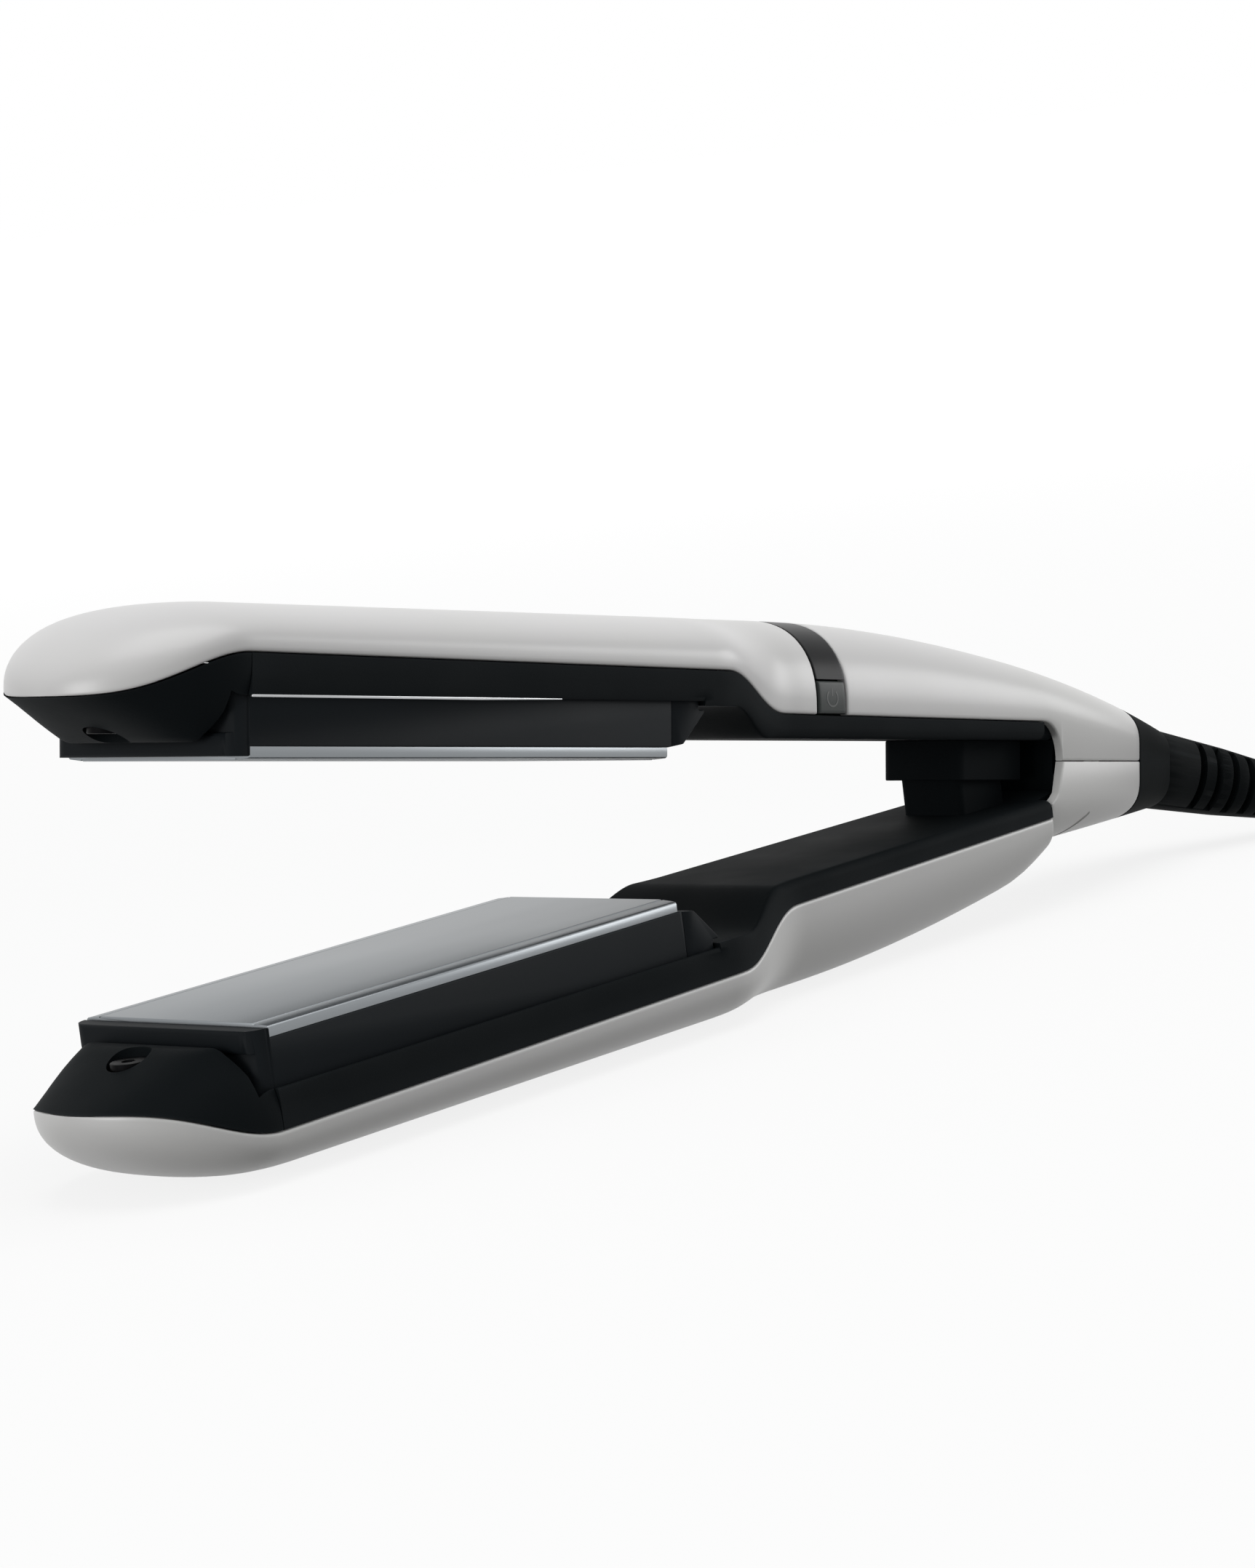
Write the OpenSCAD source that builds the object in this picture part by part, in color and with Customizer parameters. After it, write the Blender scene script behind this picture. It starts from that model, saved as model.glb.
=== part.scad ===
// Hair iron with two sprung arms, floating heated plates and a swivelling cord.
// Arm coordinates: u runs from the hinge axis to the nose, v across, h away from
// the plane where the two plates meet. The lower arm lies on its crown.

/* [Arms] */
// Distance from the hinge axis to the tip of the nose
tip_u = 260; // [245:1:275]
// Distance from the hinge axis to the start of the nose
nose_u = 236; // [236:0.5:240]
// Half width of the arm beside the plates
body_half = 22.5; // [22.5:0.1:24]
// Half width of the handle
handle_half = 16.4; // [16:0.1:18]
// Height of the crown above the mating plane
crown_h = 25.5; // [25:0.1:28]
// Wall of the white shells
wall = 1.8; // [1.4:0.1:2]
// Opening between the arms at rest, in degrees
open_angle = 10; // [8:0.5:10]
// Gap left at every seam between two covers
seam = 0.15; // [0.1:0.05:0.2]

/* [Rear housing] */
// Distance from the hinge axis back to the rim round the cord boot
rim_back = 31; // [30:0.5:34]
// Half width of the rim
rim_half = 8.8; // [8.8:0.1:9.4]
// Height of the rim above the mating plane
rim_top = 7.3; // [7.3:0.1:8]
// Depth of the rim below the mating plane
rim_bottom = 9.6; // [9.6:0.1:10]
// Where the fork of the housing ends on the centre line
fork_u = 15.2; // [15.2:0.1:16]
// Where the lower shell ends
lower_end_u = 20.2; // [20:0.1:21.5]

/* [Plates] */
// Width of a plate
plate_w = 42; // [40:0.5:42]
// Length of a plate
plate_len = 99; // [90:1:99]
// Gap between the closed plates
plate_gap = 0.3; // [0.3:0.05:0.6]
// Visible height of a plate's edge
plate_edge = 2.15; // [1.8:0.05:2.4]
// Width of the bevel along a plate's long edges
plate_bevel = 3.2; // [2:0.1:4]
// Distance that a plate can float into its arm
float_travel = 0.6; // [0.4:0.1:0.8]
// Clearance beside and above a plate carrier
float_gap = 0.3; // [0.2:0.05:0.4]

/* [Handle] */
// Depth of the inner handle face from the mating plane
grip_face = 4; // [3.5:0.1:4.5]
// Depth of the band's lower edge beside the plates
band_h = 13.3; // [13:0.1:14]
// Start of the accent ring
ring_u = 82.8; // [80:0.1:84]
// Length of the accent ring along the arm
ring_len = 7.5; // [6:0.1:8]
// Height of the power button
button_h = 5.5; // [4.5:0.1:5.5]
// Travel of the power button
button_travel = 0.8; // [0.5:0.1:0.8]

/* [Hinge and spring] */
// Radius of the hinge pin
pin_r = 2.5; // [2:0.1:3]
// Running clearance round the pin
pin_gap = 0.05; // [0.02:0.01:0.1]
// Radius of the knuckle drum that closes the fork
drum_r = 14.3; // [14:0.1:14.4]
// Half width of the lower arm's knuckle
knuckle_half = 9.6; // [8:0.1:9.6]
// Rear face of the spring sleeve
sleeve_u = 17.8; // [17.5:0.1:18.5]
// Length of the spring sleeve along the arm
sleeve_len = 21.4; // [21:0.1:24]
// Width of the spring sleeve
sleeve_w = 18.4; // [18:0.1:20]
// Length of the lower post along the arm
post_len = 14.1; // [12:0.1:14.1]
// Width of the lower post
post_w = 14.2; // [12:0.1:14.2]
// Wire of the jaw spring
spring_wire = 1.2; // [0.8:0.1:1.4]

/* [Cord] */
// Diameter of the cord
cord_d = 6; // [5:0.1:6]
// Length of the strain relief boot beyond the rim
boot_len = 34.5; // [30:0.5:35]
// Radius of the boot at the rim
boot_r = 8.1; // [7.5:0.1:8.1]
// Radius of the boot at its free end
boot_tip_r = 5; // [4.6:0.1:5.2]
// Swing of the boot towards the button side, in degrees
boot_yaw = 25; // [20:1:25]
// Droop of the boot from the arm's axis, in degrees
boot_droop = 9.5; // [8:0.5:9.5]
// Turns in each layer of the hank
hank_turns = 2; // [1:1:2]
// Radius of the hank's innermost fold
fold_r = 18; // [18:0.5:20]
// Length of the hank's runs between its folds
hank_run = 28; // [28:1:32]
// Distance between two turns of the hank
coil_pitch = 6.6; // [6.6:0.1:7]

/* [Plug] */
// Length of the plug body
plug_len = 34; // [30:1:38]
// Width of the plug body
plug_w = 35; // [30:1:36]
// Thickness of the plug body
plug_t = 14; // [13:0.5:14]
// Distance between the two pins
pin_pitch = 18.6; // [18:0.1:19]
// Radius of a plug pin
plug_pin_r = 2; // [1.8:0.1:2.4]
// Length of a plug pin
plug_pin_len = 19; // [17:0.5:20]

/* [Hidden] */
$fn = 48;

white = [0.84, 0.83, 0.84];
black = [0.1, 0.11, 0.13];
satin = [0.62, 0.64, 0.66];
steel = [0.7, 0.7, 0.7];

// Heights of the section and where it changes along the arm
rest_u = 150;
rim_u = -rim_back;
grip_u = 20;
fall_u = 90;
flare_u = 97;
flare_len = 27;
handle_swell = 0.8;
sweep_u = 99.5;
sweep_len = 21.5;
edge_rear = 7.5;
edge_grip = 8.4;
edge_sweep = 15.7;
edge_front = 17;
edge_tip = 10.1;
crown_drop = 32;
side_flat = 0.8;
roundness = 2.4;
flat_half_angle = 12;
rim_wall = 0.4;
fork_len = 6.1;
liner_u = fork_u + fork_len;

// Underside of the frames
saddle_u = 104;
saddle_len = 14;
saddle_h = 9.5;
cavity_u = 127.4;
lip_h = 10.3;
rim_t = 2;
panel_t = 1.8;

// Plates and carriers
plate_h = plate_gap / 2;
plate_front = nose_u - 1;
plate_rear = plate_front - plate_len;
carrier_half = plate_w / 2 + 0.2;
carrier_base = plate_h + plate_edge;
carrier_top = 11.7;
cavity_half = carrier_half + float_gap;
ceiling_h = carrier_top + float_travel + float_gap;
lip_len = 3.8;
lip_proud = 0.6;
ramp_u = cavity_u - 1;
heater_len = 70;
heater_w = 12;
heater_t = 1.6;
cushion_r = 3;

// Hinge
bush_t = 1;
bush_len = 4;
cheek_gap = 0.3;
cheek_t = 2;
cheek_half = knuckle_half + cheek_gap;
drum_wall = 1.6;
drum_half = 13;
drum_up = 26;
drum_down = -34;
end_gap = 0.4;

// Spring sleeve and post
sleeve_below = 3.6;
sleeve_top = 12;
sleeve_wall = 1.6;
sleeve_round = 2.5;
post_u = 22.2;
post_wall = 1.5;
post_reach = 5.7;
post_floor = grip_face + 0.3;

// Swivel and cord
ball_out = 1.5;
ball_cut = 5;
neck_r = 3;
flange_r = 4.2;
lift = 0.9;
hank_sides = 6;
rings_per_turn = 24;
hank_layers = 4;
waist_draw = 1.5;

function mix(a, b, t) = a + (b - a) * t;
function clamp01(t) = max(0, min(1, t));
function ease(t) = let (c = clamp01(t)) c * c * (3 - 2 * c);
function power(x, p) = x <= 0 ? 0 : pow(x, p);
function unit(p) = p / norm(p);

// ---- Section of an arm at a station u ----
function nose_t(u) = clamp01((u - nose_u) / (tip_u - nose_u));
function rear_t(u) = clamp01((grip_u - u) / (grip_u - rim_u));
function grip_half(u) = handle_half + handle_swell * clamp01((u - grip_u) / (flare_u - grip_u));
function rear_half(u) = grip_half(u) - (handle_half - rim_half) * power(rear_t(u), 1.8);
function half_width(u) =
    mix(rear_half(u), body_half, ease((u - flare_u) / flare_len)) * power(1 - pow(nose_t(u), 2), 0.5);

// Height of the crown: flat, falling to the rim and rounding down to the nose
function fall_t(u) = clamp01((fall_u - u) / (fall_u - rim_u));
function drop_t(u) = clamp01((u - tip_u + crown_drop) / crown_drop);
function crown(u) =
    drop_t(u) > 0
        ? mix(edge_tip + 0.3, crown_h, power(1 - pow(drop_t(u), 2), 0.5))
        : crown_h - (crown_h - rim_top) * power(fall_t(u), 1.93);

// Height of the shell's lower edge: handle, S-shaped sweep, band and nose
function handle_edge(u) = mix(edge_rear, edge_grip, clamp01((u - grip_u) / (sweep_u - grip_u)));
function band_edge(u) = mix(edge_sweep, edge_front, clamp01((u - sweep_u - sweep_len) / 115));
function edge(u) =
    u > nose_u
        ? mix(edge_tip, edge_front, pow(cos(90 * nose_t(u)), 2))
        : mix(handle_edge(u), band_edge(u), ease((u - sweep_u) / sweep_len));

// Superellipse from the near edge over the crown to the far edge, with a short flat at each edge
section_angles = [for (a = [0:12:180]) a];
function arc_h(a, base, top) =
    abs(a - 90) <= flat_half_angle ? top : base + (top - base) * power(sin(a), 2 / roundness);
function arc_v(a, w) = w * sign(cos(a)) * power(abs(cos(a)), 2 / roundness);
function section(u, w, base, top, low) = concat(
    [[u, w, low]],
    [for (a = section_angles) [u, arc_v(a, w), arc_h(a, base, top)]],
    [[u, -w, low]]
);

// ---- Surfaces ----
function differs(points, t) =
    points[t[0]] != points[t[1]] && points[t[1]] != points[t[2]] && points[t[2]] != points[t[0]];
function halves(q) = [[q[0], q[1], q[2]], [q[0], q[2], q[3]]];

// Closed solid between two grids of points with the same rows and columns. With a tip,
// the last row of each grid is a line on the middle plane, where its two sides meet.
module skin(outer, inner, tip = false) {
    rows = len(outer) - 1;
    cols = len(outer[0]) - 1;
    n = cols + 1;
    k = (rows + 1) * n;
    points = concat([for (row = outer) each row], [for (row = inner) each row]);
    quads = concat(
        [for (r = [0:rows - 1], c = [0:cols - 1])
            [r * n + c, (r + 1) * n + c, (r + 1) * n + c + 1, r * n + c + 1]],
        [for (r = [0:rows - 1], c = [0:cols - 1])
            [k + r * n + c, k + r * n + c + 1, k + (r + 1) * n + c + 1, k + (r + 1) * n + c]],
        [for (r = [0:rows - 1]) [r * n, k + r * n, k + (r + 1) * n, (r + 1) * n]],
        [for (r = [0:rows - 1])
            [r * n + cols, (r + 1) * n + cols, k + (r + 1) * n + cols, k + r * n + cols]],
        [for (c = [0:cols - 1]) [c, c + 1, k + c + 1, k + c]],
        [if (!tip) for (c = [0:cols - 1])
            [rows * n + c, k + rows * n + c, k + rows * n + c + 1, rows * n + c + 1]]
    );
    faces = [for (q = quads) for (t = halves(q)) if (differs(points, t)) t];
    polyhedron(points = points, faces = faces, convexity = 8);
}

// Ring of points round a path point, square to the path
function path_dir(path, i) = unit(path[min(i + 1, len(path) - 1)] - path[max(i - 1, 0)]);
function ring(path, i, r, sides) =
    let (t = path_dir(path, i), side = unit(cross([0, 0, 1], t)), up = cross(t, side))
    [for (j = [0:sides - 1]) path[i] + r * (cos(360 * j / sides) * side + sin(360 * j / sides) * up)];

// Unbroken round tube along a path, in triangles
module tube(path, r, sides) {
    last = len(path) - 1;
    points = [for (i = [0:last]) each ring(path, i, r, sides)];
    quads = [for (i = [0:last - 1], j = [0:sides - 1])
        [i * sides + j, (i + 1) * sides + j, (i + 1) * sides + (j + 1) % sides, i * sides + (j + 1) % sides]];
    caps = [for (j = [1:sides - 2]) each [
        [0, j, j + 1],
        [last * sides, last * sides + j + 1, last * sides + j]
    ]];
    polyhedron(points = points, faces = concat([for (q = quads) each halves(q)], caps), convexity = 10);
}

// ---- Places of the two arms ----
module upper_arm() {
    translate([-rest_u, 0, crown_h]) rotate([0, -open_angle, 0]) children();
}
module lower_arm() {
    translate([-rest_u, 0, crown_h]) mirror([0, 0, 1]) children();
}
function to_world(p) = [
    p[0] * cos(open_angle) - p[2] * sin(open_angle) - rest_u,
    p[1],
    crown_h + p[0] * sin(open_angle) + p[2] * cos(open_angle)
];

// Box between two corners
module block(low, high) {
    translate(low) cube(high - low);
}

// Extrudes a side profile, drawn in u and h, between two values of v
module across(v_low, v_high) {
    translate([0, v_high, 0]) rotate([90, 0, 0]) linear_extrude(v_high - v_low) children();
}

// The same between two distances from the middle plane, on one side of it
module across_end(side, near, far) {
    across(side > 0 ? near : -far, side > 0 ? far : -near) children();
}

// Rectangle with round corners, centred
module round_rect(size, r) {
    square([size[0] - 2 * r, size[1]], center = true);
    square([size[0], size[1] - 2 * r], center = true);
    for (x = [-1, 1], y = [-1, 1])
        translate([x * (size[0] / 2 - r), y * (size[1] / 2 - r)]) circle(r);
}

// ---- White shells ----
// Stations: handle, sweep, plates and a nose that closes on its tip
sweep_stations = [for (i = [0:8]) sweep_u - 3 + i * (sweep_len + 6) / 8];
nose_angles = [10, 24, 37, 48, 58, 67, 75, 82, 90];
drop_u = tip_u - crown_drop;
nose_stations = [for (b = nose_angles) nose_u + (tip_u - nose_u) * sin(b)];
front_stations = concat(sweep_stations, [180, drop_u, nose_u], nose_stations);
function inner_u(u) = u > nose_u ? nose_u + (u - nose_u) * (1 - wall / (tip_u - nose_u)) : u;

// Outer and inner skins of a shell at one station, with the crown that it has there
function shell_out(u, low, base, top) = section(u, half_width(u), base, max(top, base), low);
function shell_in(u, low, base, top, t) =
    let (w = u > nose_u ? half_width(u) * (1 - t / body_half) : half_width(u) - t)
    section(inner_u(u), w, base, max(top - t, mix(base, top, 0.15)), low);
function front_base(u) = nose_t(u) > 0.999 ? edge(u) : min(edge(u) + side_flat, mix(edge(u), crown(u), 0.3));

module front_shell(stations, rear_drop) {
    outer = [for (u = stations) shell_out(u, edge(u), front_base(u), crown(u) - rear_drop * round_off(u))];
    inner = [for (u = stations) shell_in(u, edge(u), front_base(u), crown(u) - rear_drop * round_off(u), wall)];
    skin(outer, inner, tip = true);
}
// Rounding of the lower shell's rear end
heel_drop = 3;
function round_off(u) = pow(clamp01((lower_end_u + 10 - u) / 10), 2);

module upper_shell_front() {
    color(white) upper_arm() front_shell(concat([ring_u + ring_len + seam], front_stations), 0);
}

module lower_shell() {
    heel_stations = [for (i = [0:4]) lower_end_u + 2.5 * i];
    color(white) lower_arm() front_shell(concat(heel_stations, [45, 60, 80], front_stations), heel_drop);
}

// Lower edge of the rear shell: parting seam, fork and handle
function rear_low(u) =
    u <= fork_u ? seam / 2
    : u < fork_u + fork_len ? max(seam / 2, edge_rear * sqrt(1 - pow((fork_u + fork_len - u) / fork_len, 2)))
    : edge(u);
function rear_base(u) = max(rear_low(u) + side_flat, mix(1.4, edge_rear + side_flat, 1 - rear_t(u)));
function rear_wall(u) = mix(rim_wall, wall, ease((u - rim_u) / 9));
rear_stations = concat(
    [for (i = [0:6]) rim_u + i * (fork_u - rim_u) / 6],
    [for (a = [18:18:90]) fork_u + fork_len * (1 - cos(a))],
    [30, 45, 60, 72, ring_u - seam]
);

module upper_shell_rear() {
    outer = [for (u = rear_stations) shell_out(u, rear_low(u), rear_base(u), crown(u))];
    inner = [for (u = rear_stations) shell_in(u, rear_low(u), rear_base(u), crown(u), rear_wall(u))];
    color(white) upper_arm() skin(outer, inner);
}

// The cap closes the rear housing below the mating plane. Its front follows the fork
// down to the lower shell, whose end it then runs along.
function cap_depth(u) = mix(rim_bottom, 16.6, clamp01((u - rim_u) / (fork_u - rim_u)));
function cap_base(u) = mix(2.6, 6, clamp01((u - rim_u) / (fork_u - rim_u)));
fork_h = 8.4;
end_line_u = (lower_end_u - end_gap) / cos(open_angle);
function cap_front(h) = min(fork_u + 3.5 * pow(abs(h) / fork_h, 3), end_line_u + h * tan(open_angle));
function cap_point(s, a, inset) =
    let (u = mix(rim_u, cap_front(arc_h(a, cap_base(fork_u), cap_depth(fork_u)) * -1), s),
         t = inset ? rear_wall(u) : 0)
    [u, arc_v(a, half_width(u) - t), -arc_h(a, cap_base(u), cap_depth(u) - t)];
function cap_edge(s, side, inset) =
    let (u = mix(rim_u, fork_u, s)) [u, side * (half_width(u) - (inset ? rear_wall(u) : 0)), -seam / 2];
function cap_row(s, inset) = concat(
    [cap_edge(s, 1, inset)],
    [for (a = section_angles) cap_point(s, a, inset)],
    [cap_edge(s, -1, inset)]
);
cap_steps = [for (i = [0:7]) i / 7];

module rear_cap() {
    color(white) upper_arm()
        skin([for (s = cap_steps) cap_row(s, true)], [for (s = cap_steps) cap_row(s, false)]);
}

// ---- Black frames ----
function sweep_t(u) = ease((u - sweep_u) / sweep_len);
function in_cavity(u) = u > cavity_u;
function under(u) = mix(grip_face, saddle_h, ease((u - saddle_u) / saddle_len));
function frame_lip(u) = in_cavity(u) ? lip_h : under(u);
function frame_ceiling(u) = in_cavity(u) ? ceiling_h : under(u);
function frame_band(u) = mix(grip_face + 1.8, band_h, sweep_t(u));
function frame_half(u, lined) = half_width(u) - (lined && u < liner_u ? wall + seam : 0);
function frame_under(u, lined) =
    let (w = frame_half(u, lined), lip = frame_lip(u), toe = w - mix(1.7, 0.4, sweep_t(u)),
         a = in_cavity(u) ? cavity_half : toe - 0.5, b = in_cavity(u) ? cavity_half : toe - 1.1,
         half = [[w, edge(u) - seam], [w, frame_band(u)], [mix(w, toe, 0.3), mix(frame_band(u), lip, 0.6)],
                 [toe, lip], [a, lip], [b, frame_ceiling(u)]])
    concat([for (p = half) [u, p[0], p[1]]], [for (i = [5:-1:0]) [u, -half[i][0], half[i][1]]]);
function frame_over(u, lined) =
    let (w = frame_half(u, lined) - rim_t, top = edge(u) - seam,
         deck = min(frame_ceiling(u) + panel_t, top - 0.6),
         half = [[w, top], [w, mix(top, deck, 0.5)], [w, deck], [w - 1.5, deck], [w - 3, deck], [w - 4.5, deck]])
    concat([for (p = half) [u, p[0], p[1]]], [for (i = [5:-1:0]) [u, -half[i][0], half[i][1]]]);

// Frame of one arm from its rear stations to the nose
module frame_body(rear, lined) {
    stations = concat(
        rear, [40, 70], sweep_stations, [cavity_u - 0.1, cavity_u + 0.1, 180, nose_u - seam]
    );
    skin([for (u = stations) frame_over(u, lined)], [for (u = stations) frame_under(u, lined)]);
}

// Opening in a frame for the spring sleeve or the post
module well(size, r, low, high, u) {
    translate([u, 0, low]) linear_extrude(high - low) round_rect(size, r);
}

sleeve_mid = sleeve_u + sleeve_len / 2;
post_mid = post_u + post_len / 2;

// Cheeks of the upper frame that hold the hinge pin
module cheek_profile() {
    difference() {
        union() {
            circle(5);
            polygon([[-4.6, 0], [4.6, 0], [9, 7.6], [24, 7.6], [24, 10.5], [16, 10.5], [8, 9.4], [-3, 5.4]]);
        }
        circle(pin_r + pin_gap);
    }
}

module upper_frame() {
    color(black) upper_arm() {
        difference() {
            union() {
                frame_body([fork_u + 0.5, liner_u - 0.05, liner_u + 0.05], true);
                for (side = [-1, 1])
                    block([18, side > 0 ? cheek_half : -cheek_half - cheek_t, grip_face + 1],
                          [24, side > 0 ? cheek_half + cheek_t : -cheek_half, 8]);
                for (u = board_posts)
                    translate([u, 0, grip_face + 1]) cylinder(r = 2, h = board_h - grip_face - 1);
            }
            well([sleeve_len - 0.4, sleeve_w - 0.4], sleeve_round, grip_face - 1, grip_face + 6, sleeve_mid);
            across(-body_half, body_half) circle(drum_r + 0.5);
            for (u = board_posts) translate([u, 0, grip_face + 2]) cylinder(r = 0.8, h = 10);
        }
        for (side = [-1, 1]) across_end(side, cheek_half, cheek_half + cheek_t) cheek_profile();
    }
}

// Knuckle of the lower frame: hub, solid segment and the wider drum wall behind the fork
module segment(r) {
    intersection() {
        circle(r);
        polygon([[0, 0], for (a = [drum_down, 0, drum_up]) 2 * r * [cos(a), -sin(a)]]);
    }
}

// Web that joins the drum wall to the floor of the lower handle
drum_foot = [
    [drum_r - 1.4, grip_face + 1.2], [drum_r - 2.1, edge_rear - 0.1], [lower_end_u + 1.8, edge_rear - 0.1],
    [lower_end_u + 1.8, grip_face + 0.2], [drum_r - 0.1, grip_face - 0.8]
];

module lower_frame() {
    color(black) lower_arm() {
        difference() {
            union() {
                frame_body([lower_end_u, 30], false);
                across(-knuckle_half, knuckle_half) {
                    circle(6.4);
                    segment(drum_r);
                }
                across(-drum_half, drum_half) difference() {
                    segment(drum_r);
                    circle(drum_r - drum_wall);
                }
                across(-drum_half, drum_half) polygon(drum_foot);
                well([post_len, post_w], 1.5, -post_reach, grip_face + 1, post_mid);
            }
            across(-body_half, body_half) circle(pin_r + pin_gap);
            for (side = [-1, 1])
                across_end(side, knuckle_half - bush_len, knuckle_half) circle(pin_r + bush_t + pin_gap);
            well([post_len - 2 * post_wall, post_w - 2 * post_wall], 1, -post_reach - 1, post_floor, post_mid);
        }
    }
}

// ---- Noses ----
nose_bottom = 3.8;
nose_waist = 0.556;
nose_front = 14.5;
nose_levels = [for (i = [0:7]) i / 7];
nose_outline = [for (a = [90:-12:6]) a];
nose_all = concat(nose_outline, [0], [for (i = [len(nose_outline) - 1:-1:0]) -nose_outline[i]]);
nose_top = edge_front - seam;
function nose_half(s) = body_half * mix(1, nose_waist, ease(s));
function nose_point(s, a) =
    let (u_top = nose_u + (tip_u - nose_u) * cos(a), u_low = nose_u + nose_front * cos(a))
    [mix(u_top, u_low, ease(s)), nose_half(s) * sin(a), mix(edge(u_top) - seam, nose_bottom, s)];
// Point of the flat back at the same height
function nose_back(s, a) =
    let (p = nose_point(s, a), level = (nose_top - p[2]) / (nose_top - nose_bottom))
    abs(a) == 90 ? p : [nose_u, nose_half(level) * sin(a), p[2]];
screw_u = nose_u + 10;

module nose() {
    difference() {
        skin([for (s = nose_levels) [for (a = nose_all) nose_point(s, a)]],
             [for (s = nose_levels) [for (a = nose_all) nose_back(s, a)]]);
        block([nose_u - 1, -cavity_half, 0], [nose_u + lip_len - 0.5, cavity_half, ceiling_h]);
        translate([screw_u, 0, 0]) cylinder(r = 3.75, h = nose_bottom + 2.6);
        translate([screw_u, 0, 0]) cylinder(r = 1.3, h = 20);
    }
}
module upper_nose() {
    color(black) upper_arm() nose();
}
module lower_nose() {
    color(black) lower_arm() nose();
}

module nose_screw() {
    translate([screw_u, 0, nose_bottom + 0.6]) difference() {
        cylinder(r = 3, h = 2);
        translate([0, 0, -0.1]) cylinder(r = 1.2, h = 1.2, $fn = 6);
    }
    translate([screw_u, 0, nose_bottom + 2.5]) cylinder(r = 1.25, h = 5.5);
}
module upper_nose_screw() {
    color(steel) upper_arm() nose_screw();
}
module lower_nose_screw() {
    color(steel) lower_arm() nose_screw();
}

// ---- Heated plates ----
// Half section of a plate: flat face, groove, bevelled edge and the rib beside the heater
groove_w = 0.5;
groove_d = 0.32;
rib_in = heater_w / 2 + 0.2;
rib_out = heater_w / 2 + 3;
rib_top = carrier_base + 3.4;
bevel_v = plate_w / 2 - plate_bevel;
plate_half = [
    [bevel_v - groove_w, plate_h], [bevel_v - groove_w / 2, plate_h + groove_d], [bevel_v, plate_h],
    [plate_w / 2 - 0.5, plate_h + 0.15], [plate_w / 2, plate_h + 0.5], [plate_w / 2, carrier_base],
    [rib_out, carrier_base], [rib_out, rib_top], [rib_in, rib_top], [rib_in, carrier_base]
];
module plate() {
    mirrored = [for (i = [len(plate_half) - 1:-1:0]) [-plate_half[i][0], plate_half[i][1]]];
    translate([plate_rear, 0, 0]) rotate([90, 0, 90]) linear_extrude(plate_len)
        polygon(concat(plate_half, mirrored));
}
module upper_plate() {
    color(satin) upper_arm() plate();
}
module lower_plate() {
    color(satin) lower_arm() plate();
}

heater_u = (plate_front + plate_rear) / 2;
module heater() {
    block([heater_u - heater_len / 2, -heater_w / 2, carrier_base + 0.05],
          [heater_u + heater_len / 2, heater_w / 2, carrier_base + 0.05 + heater_t]);
}
module upper_heater() {
    color("peru") upper_arm() heater();
}
module lower_heater() {
    color("peru") lower_arm() heater();
}

// Side profile of a carrier: lip in front, block over the plate and ramp behind
module carrier() {
    front = plate_front + 0.2;
    lip_front = plate_front + lip_len;
    proud = plate_h + lip_proud;
    difference() {
        union() {
            across(-carrier_half, carrier_half) polygon([
                [front, carrier_base + 0.02], [front, 4.4], [lip_front - 1.2, 4.4], [lip_front - 0.1, 10],
                [lip_front - 0.3, carrier_top], [cavity_u + 0.5, carrier_top], [cavity_u + 0.5, 8.8], [ramp_u, 8.8],
                [ramp_u, 8.3], [plate_rear - 4.1, 2.9], [plate_rear - 0.2, carrier_base + 0.02]
            ]);
            across(-carrier_half, carrier_half) polygon([
                [front, proud], [lip_front - 0.4, proud], [lip_front, proud + 0.4], [lip_front, 3.9],
                [lip_front - 0.4, 4.4], [front, 4.4]
            ]);
        }
        block([plate_rear - 0.2, -rib_out - 0.2, 0], [plate_front + 0.1, rib_out + 0.2, rib_top + 0.6]);
        for (u = cushion_u) translate([u, 0, carrier_top - 2]) cylinder(r = cushion_r + 0.15, h = 3);
    }
}
module upper_carrier() {
    color(black) upper_arm() carrier();
}
module lower_carrier() {
    color(black) lower_arm() carrier();
}

// Silicone cushions that press a carrier outwards
cushion_u = [plate_rear + 14, plate_front - 14];
module cushions() {
    for (u = cushion_u) translate([u, 0, carrier_top - 2 + 0.02]) difference() {
        cylinder(r = cushion_r, h = ceiling_h - carrier_top + 2 - 0.04);
        translate([0, 0, -1]) cylinder(r = 1.4, h = 10);
    }
}
module upper_cushions() {
    color("orangered") upper_arm() cushions();
}
module lower_cushions() {
    color("orangered") lower_arm() cushions();
}

// ---- Spring between the arms ----
module spring_sleeve() {
    inner = [sleeve_len - 2 * sleeve_wall, sleeve_w - 2 * sleeve_wall];
    color(black) upper_arm() difference() {
        union() {
            well([sleeve_len, sleeve_w], sleeve_round, -sleeve_below, grip_face - 0.02, sleeve_mid);
            well([sleeve_len - 1, sleeve_w - 1], sleeve_round - 0.5, grip_face - 0.1, sleeve_top, sleeve_mid);
        }
        well(inner, 1, -sleeve_below - 1, sleeve_top - sleeve_wall, sleeve_mid);
    }
}

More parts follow.
